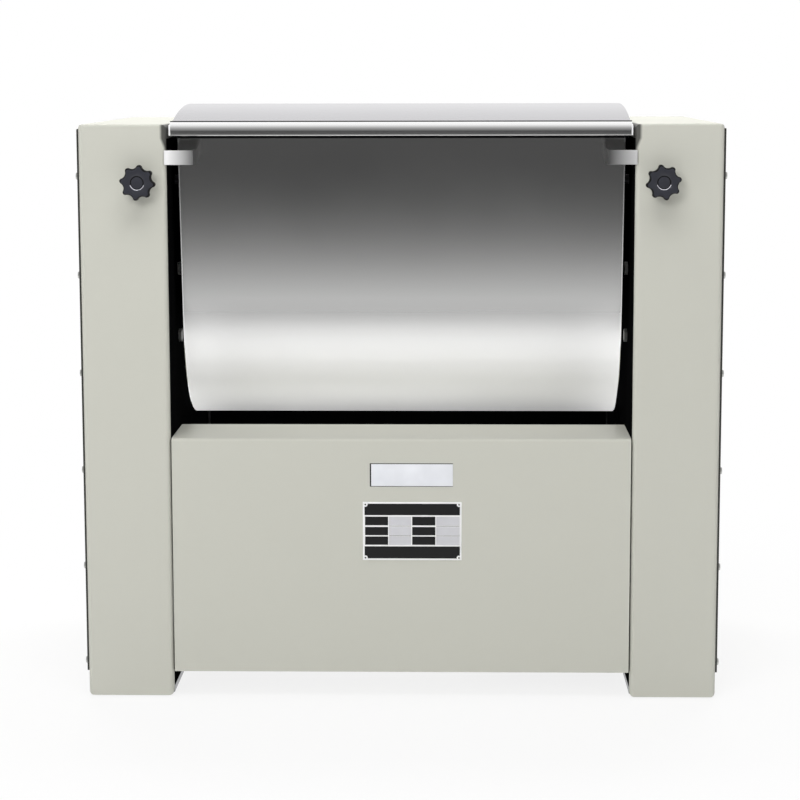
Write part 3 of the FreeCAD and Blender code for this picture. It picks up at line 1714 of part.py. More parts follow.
def hinge_pins():
    """Pins of the lid's two hinges, with a head at each end."""
    pins = []
    grip = S.knuckle_length + 2 * (S.seat_gap + S.cheek_thickness)
    head = S.cheek_thickness / 2
    for hand in (-1, 1):
        centre = hand * S.hinge_spread
        pieces = [
            rod(
                f"hinge_pin_{hand}",
                "x",
                (centre - grip / 2, S.hinge_back, HINGE_HEIGHT),
                S.pin_radius,
                grip,
            )
        ]
        for number, start in enumerate((centre - grip / 2 - head, centre + grip / 2)):
            pieces.append(
                rod(
                    f"hinge_pin_head_{hand}_{number}",
                    "x",
                    (start, S.hinge_back, HINGE_HEIGHT),
                    S.pin_radius * 1.5,
                    head,
                )
            )
        pins.append(fuse(f"hinge_pin_solid_{hand}", *pieces))
    return pins


def hinge_brackets():
    """The bin's half of both lid hinges."""
    return subpart("hinge_brackets", group("hinge_brackets", *hinge_cheeks(), *hinge_pins()))


# Lid

LID_END = S.lid_length / 2


def arch_radius(rise):
    """Radius of the arch with a rise over its two feet."""
    return (S.arch_front * S.arch_front + rise * rise) / (2 * rise)


def lid_shell():
    """Arched sheet with a flat strip and a turned-down edge along its back."""
    sheet = S.lid_sheet
    top = arch_radius(S.arch_rise)
    foot = LID_TOP
    outline = [
        (-S.arch_front, foot - sheet),
        (S.arch_front, foot - sheet),
        (S.arch_front, foot, top, 1),
        (-S.arch_front, foot),
    ]
    solid = prism("lid_arch_outside", "YZ_Plane", [outline], -LID_END, 2 * LID_END)
    below = S.arch_rise
    hollow_outline = [
        (-S.arch_front + sheet, foot - 2 * sheet),
        (S.arch_front - sheet, foot - 2 * sheet),
        (S.arch_front - sheet, foot - sheet / 2, arch_radius(below), 1),
        (-S.arch_front + sheet, foot - sheet / 2),
    ]
    hollow = prism(
        "lid_arch_inside", "YZ_Plane", [hollow_outline], -LID_END + sheet, 2 * LID_END - 2 * sheet
    )
    arch = cut("lid_arch", solid, hollow)
    strip = block(
        "lid_back_strip",
        (-LID_END, S.arch_front - sheet, foot - sheet),
        (2 * LID_END, S.lid_back - S.arch_front + sheet, sheet),
    )
    edge = block(
        "lid_back_edge",
        (-LID_END, S.lid_back - sheet, LID_BOTTOM + S.rim_thickness),
        (2 * LID_END, sheet, LID_TOP - LID_BOTTOM - S.rim_thickness),
    )
    return subpart("lid_shell", fuse("lid_shell", arch, strip, edge))


def lid_front_bar():
    """Rolled strip along the front of the lid, which is also its grip."""
    sheet = 2 * S.lid_sheet
    roll = S.lid_roll
    front = -S.lid_front
    outline = [
        (front + S.lid_tuck, LID_BOTTOM),
        (front + sheet, LID_BOTTOM),
        (front + sheet, LID_TOP - roll, roll - sheet, -1),
        (front + roll, LID_TOP - sheet),
        (-S.arch_front, LID_TOP - sheet),
        (-S.arch_front, LID_TOP),
        (front + roll, LID_TOP, roll, 1),
        (front, LID_TOP - roll),
    ]
    return subpart(
        "lid_front_bar", prism("lid_front_bar", "YZ_Plane", [outline], -LID_END, 2 * LID_END)
    )


def lid_ends():
    """Skirts that close the lid over the bin's ends and rest on its rim."""
    sheet = S.lid_sheet
    plates = []
    for name, side in SIDES.items():
        start = low_x(side, BIN_END + S.seat_gap, sheet)
        outline = [
            (-S.arch_front + sheet, RIM + S.seat_gap),
            (S.lid_back - sheet, RIM + S.seat_gap),
            (S.lid_back - sheet, LID_TOP - sheet),
            (-S.arch_front + sheet, LID_TOP - sheet),
        ]
        plates.append(prism(f"{name}_lid_skirt", "YZ_Plane", [outline], start, sheet))
    return subpart("lid_skirts", group("lid_skirts", *plates))


def hinge_leaves():
    """Leaves on the lid's back strip, each with a knuckle around its pin."""
    leaves = []
    for hand in (-1, 1):
        centre = hand * S.hinge_spread
        start = centre - S.knuckle_length / 2
        strap = block(
            f"hinge_strap_{hand}",
            (start, S.lid_back - S.leaf_length / 5, LID_TOP),
            (
                S.knuckle_length,
                S.hinge_back - S.lid_back + S.leaf_length / 5,
                S.leaf_thickness,
            ),
        )
        knuckle = rod(
            f"hinge_knuckle_{hand}",
            "x",
            (start, S.hinge_back, HINGE_HEIGHT),
            S.knuckle_radius,
            S.knuckle_length,
        )
        bore = rod(
            f"hinge_bore_{hand}",
            "x",
            (start, S.hinge_back, HINGE_HEIGHT),
            S.pin_radius + S.running_gap,
            S.knuckle_length,
        )
        leaves.append(cut(f"hinge_leaf_{hand}", fuse(f"hinge_blank_{hand}", strap, knuckle), bore))
    return subpart("hinge_leaves", group("hinge_leaves", *leaves))


# Locks


def star_knob(name, side):
    """Knob with lobes, a neck behind it and a recess for its cap."""
    part = DOC.addObject("PartDesign::Body", name)
    disc_sketch = sketch_in(part, f"{name}_disc", "XZ_Plane")
    draw_hole(disc_sketch, 0, 0, S.knob_radius)
    disc = part.newObject("PartDesign::Pad", f"{name}_lobes")
    disc.Profile = disc_sketch
    disc.setExpression("Length", text_of(S.knob_thickness))
    DOC.recompute()
    scallop_sketch = sketch_in(part, f"{name}_scallop", "XZ_Plane")
    draw_hole(scallop_sketch, S.knob_radius + S.knob_scallop_out, 0, S.knob_scallop)
    scallop = part.newObject("PartDesign::Pocket", f"{name}_hollow")
    scallop.Profile = scallop_sketch
    scallop.Type = "ThroughAll"
    scallop.Reversed = True
    DOC.recompute()
    pattern = part.newObject("PartDesign::PolarPattern", f"{name}_hollows")
    pattern.Originals = [scallop]
    pattern.Axis = (disc_sketch, ["N_Axis"])
    pattern.Angle = 360
    pattern.setExpression("Occurrences", text_of(S.knob_lobes))
    part.Tip = pattern
    DOC.recompute()
    faces = pattern.Shape.Faces
    front = [
        number
        for number, face in enumerate(faces, 1)
        if abs(face.CenterOfMass.y + float(S.knob_thickness)) < 0.01
    ]
    rim = part.newObject("PartDesign::Chamfer", f"{name}_rim")
    rim.Base = (pattern, [f"Face{number}" for number in front])
    rim.setExpression("Size", text_of(S.knob_thickness / 7))
    part.Tip = rim
    DOC.recompute()
    neck_sketch = sketch_in(part, f"{name}_neck_sketch", "XZ_Plane")
    draw_hole(neck_sketch, 0, 0, S.knob_hub_radius)
    neck = part.newObject("PartDesign::Pad", f"{name}_neck")
    neck.Profile = neck_sketch
    neck.Reversed = True
    neck.setExpression("Length", text_of(S.knob_neck))
    DOC.recompute()
    cap_sketch = sketch_in(part, f"{name}_cap_sketch", "XZ_Plane")
    draw_hole(cap_sketch, 0, 0, S.knob_cap_radius)
    cap_sketch.setExpression("AttachmentOffset.Base.z", text_of(S.knob_thickness))
    cap = part.newObject("PartDesign::Pocket", f"{name}_cap")
    cap.Profile = cap_sketch
    cap.setExpression("Length", text_of(S.knob_cap_depth))
    part.Tip = cap
    turn = S.knob_turn_left if side < 0 else S.knob_turn_right
    stand = FreeCAD.Rotation(Vector(0, -1, 0), float(turn))
    place(part, (side * S.knob_out, KNOB_FRONT + S.knob_thickness, KNOB_HEIGHT), stand)
    return subpart(name, part)


def lock_shaft(name, side):
    """Stud behind a star knob, with the lock finger on its inner end."""
    stud_start = FRONT - S.seat_gap
    finger_front = FINGER_BACK - S.finger_thickness
    stud = rod(
        f"{name}_stud",
        "y",
        (side * S.knob_out, stud_start, KNOB_HEIGHT),
        S.stud_radius,
        FINGER_BACK - stud_start,
    )
    half = S.finger_width / 2
    finger = block(
        f"{name}_finger",
        (side * S.knob_out - half, finger_front, KNOB_HEIGHT),
        (S.finger_width, S.finger_thickness, FINGER_LENGTH - half),
    )
    tip = rod(
        f"{name}_tip",
        "y",
        (side * S.knob_out, finger_front, KNOB_HEIGHT + FINGER_LENGTH - half),
        half,
        S.finger_thickness,
    )
    eye = rod(
        f"{name}_eye",
        "y",
        (side * S.knob_out, finger_front, KNOB_HEIGHT),
        half * 1.25,
        S.finger_thickness,
    )
    return subpart(name, fuse(name, stud, finger, tip, eye))


def lock_bushes():
    """Flanged bushes that guide the studs in the casing's front sheet."""
    bushes = []
    for name, side in SIDES.items():
        barrel = rod(
            f"{name}_bush_barrel",
            "y",
            (side * S.knob_out, FRONT, KNOB_HEIGHT),
            S.bush_radius,
            3 * S.casing_sheet,
        )
        head = rod(
            f"{name}_bush_head",
            "y",
            (side * S.knob_out, FRONT + S.casing_sheet, KNOB_HEIGHT),
            S.bush_head,
            2 * S.casing_sheet,
        )
        bore = rod(
            f"{name}_bush_bore",
            "y",
            (side * S.knob_out, FRONT, KNOB_HEIGHT),
            S.stud_radius + S.running_gap,
            3 * S.casing_sheet,
        )
        bushes.append(cut(f"{name}_lock_bush", fuse(f"{name}_bush_blank", barrel, head), bore))
    return subpart("lock_bushes", group("lock_bushes", *bushes))


def lock_brackets():
    """Angle brackets on the side plates that carry the studs' inner ends."""
    brackets = []
    for name, side in SIDES.items():
        reach = S.knob_out + S.bush_head - PLATE_OUTER
        face = FINGER_BACK - S.finger_thickness - S.seat_gap - S.bracket_sheet
        low = KNOB_HEIGHT - S.bracket_height / 2
        arm = block(
            f"{name}_bracket_arm",
            (low_x(side, PLATE_OUTER, reach), face, low),
            (reach, S.bracket_sheet, S.bracket_height),
        )
        foot_length = 4 * S.bracket_sheet
        foot = block(
            f"{name}_bracket_foot",
            (
                low_x(side, PLATE_OUTER, S.bracket_sheet),
                face - foot_length,
                low,
            ),
            (S.bracket_sheet, foot_length + S.bracket_sheet, S.bracket_height),
        )
        bore = rod(
            f"{name}_bracket_bore",
            "y",
            (side * S.knob_out, face, KNOB_HEIGHT),
            S.stud_radius + S.running_gap,
            S.bracket_sheet,
        )
        brackets.append(cut(f"{name}_lock_bracket", fuse(f"{name}_bracket_blank", arm, foot), bore))
    return subpart("lock_brackets", group("lock_brackets", *brackets))


# Controls on the back of the right tower


def switch_pieces():
    """Rotary switch: a square plate and a dial with a bar grip."""
    half = S.switch_plate / 2
    subpart(
        "switch_plate",
        prism(
            "switch_plate",
            "XZ_Plane",
            [
                rounded(
                    S.switch_out - half,
                    SWITCH_HEIGHT - half,
                    S.switch_out + half,
                    SWITCH_HEIGHT + half,
                    S.corner_round,
                )
            ],
            -BACK - S.switch_plate_thickness,
            S.switch_plate_thickness,
        ),
    )
    start = BACK + S.switch_plate_thickness + S.seat_gap
    dial_depth = (BACK + S.switch_reach - start) / 2
    centre = (S.switch_out, start, SWITCH_HEIGHT)
    dial = cone(
        "switch_dial_disc", "y", centre, S.switch_radius, S.switch_radius * 0.9, dial_depth
    )
    grip = block(
        "switch_grip_bar",
        (S.switch_out - S.switch_grip / 2, start, SWITCH_HEIGHT - S.switch_radius * 0.85),
        (S.switch_grip, BACK + S.switch_reach - start, S.switch_radius * 1.7),
    )
    return subpart("switch_dial", fuse("switch_dial", dial, grip))


def cable_gland():
    """Gland low on the back of the right tower, where the supply enters."""
    centre_x, centre_z = S.switch_out, S.gland_height
    nut = hexagon(
        "gland_nut", "y", (centre_x, BACK, centre_z), S.gland_radius, S.gland_reach / 2
    )
    dome = cone(
        "gland_dome",
        "y",
        (centre_x, BACK + S.gland_reach / 2, centre_z),
        S.gland_radius * 0.8,
        S.gland_radius * 0.6,
        S.gland_reach / 2,
    )
    thread = rod(
        "gland_thread",
        "y",
        (centre_x, BACK - 4 * S.casing_sheet, centre_z),
        S.gland_radius * 0.6,
        4 * S.casing_sheet,
    )
    bore = rod(
        "gland_bore",
        "y",
        (centre_x, BACK - 4 * S.casing_sheet, centre_z),
        S.gland_radius * 0.4,
        4 * S.casing_sheet + S.gland_reach,
    )
    return subpart("cable_gland", cut("cable_gland", fuse("gland_blank", nut, dome, thread), bore))


def build_towers():
    for name, side in SIDES.items():
        tower_casing(f"{name}_tower_casing", side)
        side_cover(f"{name}_side_cover", side)
        side_plate(f"{name}_side_plate", side)
        bearing_housing(f"{name}_bearing_housing", side)
    cover_screws()
    base_plates()
    foot_pads()
    housing_bolts()
    ball_bearings()
    shaft_seals()


def build_lower_body():
    lower_front_panel()
    back_panel()
    base_rail("front_base_rail", -1)
    base_rail("back_base_rail", 1)
    label_plates()
    switch_pieces()
    cable_gland()


def build_drive():
    for name, side in SIDES.items():
        mixing_shaft(f"{name}_mixing_shaft", side)
        rotor_arm(f"{name}_rotor_arm", side)
    mixing_blade("first_mixing_blade", 0)
    mixing_blade("second_mixing_blade", 180)
    large_gear()
    pinion()
    countershaft_pieces()
    large_pulley()
    motor_pulley()
    drive_belt()
    motor_frame()
    motor_fan_cover()
    motor_shaft()
    terminal_box()
    motor_plate()


def build_bin_and_lid():
    bin_wrapper()
    bin_end("left_bin_end", -1)
    bin_end("right_bin_end", 1)
    bin_rim()
    bin_hubs()
    lock_stubs()
    stop_ears()
    hinge_brackets()
    lid_shell()
    lid_front_bar()
    lid_ends()
    hinge_leaves()


def build_locks():
    for name, side in SIDES.items():
        star_knob(f"{name}_star_knob", side)
        lock_shaft(f"{name}_lock_shaft", side)
    lock_bushes()
    lock_brackets()


def check_document():
    """Stop if any object failed or any sub-part has no valid solid."""
    for thing in DOC.Objects:
        if {"Invalid", "Error"} & set(thing.State):
            raise RuntimeError(f"{thing.Name} failed: {thing.State}")
    for part in SUBPARTS:
        if part.Shape.isNull() or not part.Shape.isValid() or part.Shape.Volume <= 0:
            raise RuntimeError(f"{part.Label} has no valid shape")


def write_parts():
    """Write each sub-part to its own file and print its size."""
    os.makedirs("parts", exist_ok=True)
    for part in SUBPARTS:
        part.Shape.exportStep(f"parts/{part.Label}.step")
        print(f"{part.Label:26s} solids {len(part.Shape.Solids):3d} volume {part.Shape.Volume:12.0f}")
    print(len(SUBPARTS), "sub-parts")


build_towers()
build_lower_body()
build_drive()
build_bin_and_lid()
build_locks()
DOC.recompute()
check_document()
write_parts()
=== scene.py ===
"""Looks of the horizontal dough mixer: finishes, fine pieces, studio and camera around the fixed frame.

Everything is in metres: X to the right as seen from the front, Y to the back, Z up.
"""

import logging
import math
from dataclasses import dataclass
from enum import Enum
from typing import Callable, Iterable, Sequence

import bmesh
import bpy
from mathutils import Matrix, Vector


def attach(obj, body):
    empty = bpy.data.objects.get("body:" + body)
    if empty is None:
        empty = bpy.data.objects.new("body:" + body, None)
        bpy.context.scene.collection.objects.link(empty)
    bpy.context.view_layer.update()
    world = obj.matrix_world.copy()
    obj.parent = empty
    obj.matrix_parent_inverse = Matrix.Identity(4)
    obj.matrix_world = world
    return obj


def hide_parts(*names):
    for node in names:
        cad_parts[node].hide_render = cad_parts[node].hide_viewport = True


LOG = logging.getLogger("dough_mixer")
Number = float | int
Colour = tuple[float, float, float]
Point = tuple[float, float, float]
Span = tuple[float, float]

WHITE: Colour = (1.0, 1.0, 1.0)
MERGE_DISTANCE = 2e-6
# Length along an axis above which a face's normal, or a grid point, counts as lying that way
MOSTLY = 0.5

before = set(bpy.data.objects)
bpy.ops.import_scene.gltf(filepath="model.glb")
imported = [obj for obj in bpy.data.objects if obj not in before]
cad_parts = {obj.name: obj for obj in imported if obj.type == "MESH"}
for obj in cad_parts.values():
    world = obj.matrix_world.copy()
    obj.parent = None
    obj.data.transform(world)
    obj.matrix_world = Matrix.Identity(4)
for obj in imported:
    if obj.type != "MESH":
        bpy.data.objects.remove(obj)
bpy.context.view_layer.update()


def srgb(red: int, green: int, blue: int) -> Colour:
    """Turn screen values from 0 to 255 into a linear colour.

    Args:
        red: Red on the screen.
        green: Green on the screen.
        blue: Blue on the screen.

    Returns:
        The colour as the shaders take it.
    """
    def linear(value: int) -> float:
        """One channel as light."""
        share = value / 255
        return share / 12.92 if share <= 0.04045 else ((share + 0.055) / 1.055) ** 2.4

    return linear(red), linear(green), linear(blue)


def tinted(colour: Colour, factor: float) -> Colour:
    """A colour made lighter or darker by a factor."""
    return tuple(min(channel * factor, 1.0) for channel in colour)


# Shaders


class Wire:
    """A shader value that Python's own signs work on."""

    def __init__(self, nodes: "Nodes", socket: bpy.types.NodeSocket) -> None:
        """Keep the value's socket and the node tree that it belongs to."""
        self.nodes = nodes
        self.socket = socket

    def __add__(self, other: "Wire | Number") -> "Wire":
        """Sum with a value or number."""
        return self.nodes.maths("ADD", self, other)

    __radd__ = __add__

    def __sub__(self, other: "Wire | Number") -> "Wire":
        """This less a value or number."""
        return self.nodes.maths("SUBTRACT", self, other)

    def __rsub__(self, other: "Wire | Number") -> "Wire":
        """A number less this."""
        return self.nodes.maths("SUBTRACT", other, self)

    def __mul__(self, other: "Wire | Number") -> "Wire":
        """Product with a value or number."""
        return self.nodes.maths("MULTIPLY", self, other)

    __rmul__ = __mul__

    def __truediv__(self, other: "Wire | Number") -> "Wire":
        """This over a value or number."""
        return self.nodes.maths("DIVIDE", self, other)

    def __abs__(self) -> "Wire":
        """The value without its sign."""
        return self.nodes.maths("ABSOLUTE", self, 0.0)

    def clamped(self, low: float, high: float) -> "Wire":
        """The value held between two numbers."""
        return self.nodes.maths("MINIMUM", self.nodes.maths("MAXIMUM", self, low), high)

    def ramp(self, start: float, end: float) -> "Wire":
        """Share that goes from 0 to 1 while the value goes from start to end."""
        return ((self - start) / (end - start)).clamped(0, 1)

    def swing(self, width: float) -> "Wire":
        """Step to both sides of zero, a width across while the value goes from 0 to 1."""
        return (self - 0.5) * width


class Nodes:
    """The node tree of a material or a world, in the making."""

    def __init__(self, tree: bpy.types.NodeTree) -> None:
        """Take over a node tree and empty it."""
        self.tree = tree
        self.tree.nodes.clear()

    def node(
        self,
        kind: str,
        settings: dict[str, object] | None = None,
        inputs: dict[object, object] | None = None,
    ) -> bpy.types.Node:
        """Add a node, set it up, then feed its sockets.

        Args:
            kind: Node type.
            settings: Properties of the node; the key stops fills a colour ramp.
            inputs: Values or wires by socket name or number.

        Returns:
            The new node.
        """
        made = self.tree.nodes.new(kind)
        for key, value in (settings or {}).items():
            if key == "stops":
                self._fill_ramp(made, value)
            else:
                setattr(made, key, value)
        for key, value in (inputs or {}).items():
            self.feed(made.inputs[key], value)
        return made

    def wire(
        self,
        kind: str,
        output: str | int,
        settings: dict[str, object] | None = None,
        inputs: dict[object, object] | None = None,
    ) -> Wire:
        """Add a node as the method node does, and take one of its outputs.

        Args:
            kind: Node type.
            output: Name or number of the output.
            settings: Properties of the node.
            inputs: Values or wires by socket name or number.

        Returns:
            The output.
        """
        return Wire(self, self.node(kind, settings, inputs).outputs[output])

    def _fill_ramp(self, ramp: bpy.types.Node, stops: Sequence[tuple[float, Colour]]) -> None:
        """Put the stops on a colour ramp.

        Args:
            ramp: The colour ramp node.
            stops: Position and colour of each stop.
        """
        elements = ramp.color_ramp.elements
        while len(elements) < len(stops):
            elements.new(0.5)
        for element, (position, colour) in zip(elements, stops):
            element.position = position
            element.color = (*colour, 1.0)

    def feed(self, socket: bpy.types.NodeSocket, value: object) -> None:
        """Link a wire to a socket, or write a plain value on it.

        Args:
            socket: The socket to feed.
            value: A wire, number, vector or colour.
        """
        if isinstance(value, Wire):
            self.tree.links.new(value.socket, socket)
        elif isinstance(value, tuple) and len(value) == 3 and socket.type == "RGBA":
            socket.default_value = (*value, 1.0)
        else:
            socket.default_value = value

    def maths(self, operation: str, first: object, second: object) -> Wire:
        """One Math node's result."""
        return self.wire("ShaderNodeMath", 0, {"operation": operation}, {0: first, 1: second})

    def coordinates(self, kind: str = "Object") -> Wire:
        """Texture coordinates of one kind."""
        return self.wire("ShaderNodeTexCoord", kind)

    def split(self, vector: Wire) -> list[Wire]:
        """A vector's parts along X, Y and Z."""
        parts = self.node("ShaderNodeSeparateXYZ", {}, {"Vector": vector})
        return [Wire(self, parts.outputs[axis]) for axis in "XYZ"]

    def graded(self, value: Wire, levels: Sequence[Span]) -> Wire:
        """Grey that follows a value.

        Args:
            value: The value, from 0 to 1.
            levels: Value and grey of each stop.

        Returns:
            The grey as a colour.
        """
        stops = [(position, (level,) * 3) for position, level in levels]
        return self.wire("ShaderNodeValToRGB", "Color", {"stops": stops}, {"Fac": value})

    def rays(self) -> tuple[Wire, Wire]:
        """Whether a ray comes from the camera, and whether it comes from a reflection."""
        path = self.node("ShaderNodeLightPath").outputs
        return Wire(self, path["Is Camera Ray"]), Wire(self, path["Is Glossy Ray"])

    def either(self, share: Wire, first: Wire, second: Wire) -> Wire:
        """The first shader where the share is 0 and the second where it is 1."""
        return self.wire("ShaderNodeMixShader", "Shader", {}, {0: share, 1: first, 2: second})


class Paint(Nodes):
    """A material being mixed: one Principled shader and the nodes that feed it."""

    def __init__(self, name: str) -> None:
        """Start a material that has only its shader.

        Args:
            name: Name of the material.
        """
        self.material = bpy.data.materials.new(name)
        self.material.use_nodes = True
        super().__init__(self.material.node_tree)
        self.shader = self.node("ShaderNodeBsdfPrincipled")
        self.output = self.node("ShaderNodeOutputMaterial")
        self.finish_with(Wire(self, self.shader.outputs["BSDF"]))

    def finish_with(self, shader: Wire) -> None:
        """Show a shader on the surface."""
        self.feed(self.output.inputs["Surface"], shader)

    def place(self, scale: Point = (1, 1, 1)) -> Wire:
        """Object coordinates, stretched along the axes."""
        inputs = {"Vector": self.coordinates(), "Scale": scale}
        return self.wire("ShaderNodeMapping", "Vector", {"vector_type": "POINT"}, inputs)

    def noise(self, where: Wire, scale: float, detail: float = 2.0, roughness: float = 0.5) -> Wire:
        """Noise from 0 to 1.

        Args:
            where: Coordinates.
            scale: Noise cells per metre.
            detail: Octaves.
            roughness: Weight of the fine octaves.

        Returns:
            The noise as a value.
        """
        inputs = {"Vector": where, "Scale": scale, "Detail": detail, "Roughness": roughness}
        return self.wire("ShaderNodeTexNoise", "Fac", {"noise_dimensions": "3D"}, inputs)

    def between(self, share: Wire | Number, first: object, second: object) -> Wire:
        """The first colour where the share is 0 and the second where it is 1."""
        return self.wire("ShaderNodeMix", 2, {"data_type": "RGBA"}, {0: share, 6: first, 7: second})

    def toned(self, share: Wire, colour: Colour, tones: Span) -> Wire:
        """A colour times the first tone where the share is 0 and times the second where it is 1."""
        return self.between(share, *(tinted(colour, tone) for tone in tones))

    def bump(self, height: Wire, depth: float) -> None:
        """Raise the surface in shading only.

        Args:
            height: Height from 0 to 1.
            depth: Metres that 1 stands for.
        """
        inputs = {"Height": height, "Distance": depth, "Strength": 1.0}
        self.set(Normal=self.wire("ShaderNodeBump", "Normal", {}, inputs))

    def set(self, **sockets: object) -> None:
        """Feed the Principled shader's sockets, named with underscores for spaces.

        Args:
            sockets: Values or wires by socket name.
        """
        for key, value in sockets.items():
            self.feed(self.shader.inputs[key.replace("_", " ")], value)


class Grain(Enum):
    """Which way a metal is brushed, as stretches of the pattern along X, Y and Z."""

    ALONG_X = (1.0, 60.0, 60.0)
    ALONG_Y = (60.0, 1.0, 60.0)
    ALONG_Z = (60.0, 60.0, 1.0)
    EVEN = (12.0, 12.0, 12.0)


@dataclass(frozen=True)
class PowderCoat:
    """Baked textured paint on sheet steel, which may have painted shade: a darker fold at the corners.

    A pair of corner sizes says where that side of the painted shade fades in and where it is full.
    """

    name: str
    colour: Colour
    roughness: float = 0.46
    roughness_swing: float = 0.1
    shine: float = 0.4
    peel: float = 620.0
    peel_share: float = 0.3
    patch: float = 2.3
    tones: Span = (0.975, 1.02)
    depth: float = 0.00006
    # corner is the colour of the painted shade on the fold beside the bin, where shade falls under the
    # lid bar
    corner: Colour | None = None
    corner_reach: Span = (0.2988, 0.2953)
    corner_narrowing: tuple[float, float, float] = (0.711, 0.698, 0.005)
    corner_foot: Span = (0.69, 0.696)
    corner_head: Span = (0.7283, 0.7273)
    corner_depth: Span = (-0.06, -0.14)

    def _painted_corner_shade(self, paint: Paint) -> Wire:
        """Share of the painted shade on the fold at the front upper corners beside the bin.

        Args:
            paint: The material in the making.

        Returns:
            The share from 0 to 1.
        """
        across, deep, height = paint.split(paint.coordinates())
        high, low, narrowing = self.corner_narrowing
        reach = abs(across) + height.ramp(high, low) * narrowing
        return (
            reach.ramp(*self.corner_reach)
            * height.ramp(*self.corner_foot)
            * height.ramp(*self.corner_head)
            * deep.ramp(*self.corner_depth)
        )

    def mix(self) -> bpy.types.Material:
        """Mix the paint.

        Returns:
            The material.
        """
        paint = Paint(self.name)
        where = paint.place()
        peel = paint.noise(where, self.peel, 3.0, 0.6)
        patch = paint.noise(where, self.patch)
        tone = (patch * (1 - self.peel_share) + peel * self.peel_share).clamped(0, 1)
        colour = paint.toned(tone, self.colour, self.tones)
        # Painted shade: the corner colour laid over the fold at the front upper corners
        if self.corner is not None:
            colour = paint.between(self._painted_corner_shade(paint), colour, self.corner)
        paint.set(
            Base_Color=colour,
            Roughness=self.roughness + peel.swing(self.roughness_swing),
            Specular_IOR_Level=self.shine,
        )
        paint.bump(peel, self.depth)
        return paint.material


@dataclass(frozen=True)
class BrushedMetal:
    """Bare metal with brush lines one way, which may have a satin belt and belts of painted light on
    its front.

    satin and blur say at which height the duller colour and the rougher surface begin and where
    they are full; the satin belt's pale colour is partly painted reflection. Each belt of the bounce
    field is painted light, an emission that stands for light thrown back by the floor, and has a
    third number, its strength, which paints shade where it is negative; so has ends, where the
    painted light grows outwards along X. facing is where the front side begins along Y.
    """

    name: str
    colour: Colour
    grain: Grain
    roughness: float = 0.27
    lines: float = 26.0
    line_share: float = 0.6
    spread: float = 0.1
    cloud: float = 5.0
    cloud_spread: float = 0.06
    tones: Span = (0.94, 1.05)
    depth: float = 0.000008
    satin: Span | None = None
    blur: Span | None = None
    satin_roughness: float = 0.35
    satin_metallic: float = 0.92
    satin_painted_reflection_colour: Colour = (0.97, 0.97, 0.97)
    painted_bounce: tuple[tuple[float, float, float], ...] = ()
    painted_bounce_colour: Colour = (1.0, 1.0, 0.99)
    facing: Span = (0.12, 0.02)
    ends: tuple[float, float, float] = (0.2, 0.28, 0.3)

    def _below(self, paint: Paint, span: Span | None) -> Wire | float:
        """Share that comes in from one height to a lower one, on the front side only.

        Args:
            paint: The material in the making.
            span: Height where it starts and height where it is full, or nothing.

        Returns:
            The share from 0 to 1.
        """
        if span is None:
            return 0.0
        _, deep, height = paint.split(paint.coordinates())
        return height.ramp(*span) * deep.ramp(*self.facing)

    def _painted_glow(self, paint: Paint) -> Wire:
        """Strength of the painted light, a faint emission that stands for light thrown back by the
        floor.

        Args:
            paint: The material in the making.

        Returns:
            The strength.
        """
        belts = (self._below(paint, (high, low)) * amount for high, low, amount in self.painted_bounce)
        start, end, amount = self.ends
        outwards = abs(paint.split(paint.coordinates())[0]).ramp(start, end)
        return sum(belts, 0.0) + outwards * outwards * self._below(paint, self.blur) * amount

    def mix(self) -> bpy.types.Material:
        """Brush the metal.

        Returns:
            The material.
        """
        paint = Paint(self.name)
        satin = self._below(paint, self.satin)
        line = paint.noise(paint.place(self.grain.value), self.lines, 4.0, 0.62)
        cloud = paint.noise(paint.place(), self.cloud, 3.0)
        tone = (line * self.line_share + cloud * (1 - self.line_share)).clamped(0, 1)
        bare = paint.toned(tone, self.colour, self.tones)
        paint.set(
            Base_Color=paint.between(satin, bare, self.satin_painted_reflection_colour),
            Metallic=satin * -self.satin_metallic + 1.0,
            Roughness=self.roughness
            + line.swing(self.spread)
            + cloud.swing(self.cloud_spread)
            + self._below(paint, self.blur) * self.satin_roughness,
        )
        # Painted light: emission in the bounce belts and at the ends, and painted shade where a
        # strength is negative
        if self.painted_bounce:
            glow = paint.between(self._painted_glow(paint), (0.0, 0.0, 0.0), self.painted_bounce_colour)
            paint.set(Emission_Color=glow, Emission_Strength=1.0)
        paint.bump(line, self.depth)
        return paint.material


@dataclass(frozen=True)
class PaintedReflectionMetal:
    """Satin metal with a painted reflection: lighter towards the outside of the machine, and dimmer on
    its right.
    """

    name: str
    inner: Colour
    outer: Colour
    span: Span
    roughness: float = 0.3
    metallic: float = 0.05
    lines: float = 60.0
    spread: float = 0.08
    right_painted_tones: Span = (0.42, 0.6)
    right_side: Span = (0.0, 0.001)

    def mix(self) -> bpy.types.Material:
        """Mix the metal.

        Returns:
            The material.
        """
        paint = Paint(self.name)
        across = paint.split(paint.coordinates())[0]
        share = abs(across).ramp(*self.span)
        line = paint.noise(paint.place(Grain.ALONG_Z.value), self.lines, 3.0)
        left = paint.between(share, self.inner, self.outer)
        inner, outer = self.right_painted_tones
        right = paint.between(share, tinted(self.inner, inner), tinted(self.outer, outer))
        paint.set(
            Base_Color=paint.between(across.ramp(*self.right_side), left, right),
            Metallic=self.metallic,
            Roughness=self.roughness + line.swing(self.spread),
        )
        return paint.material


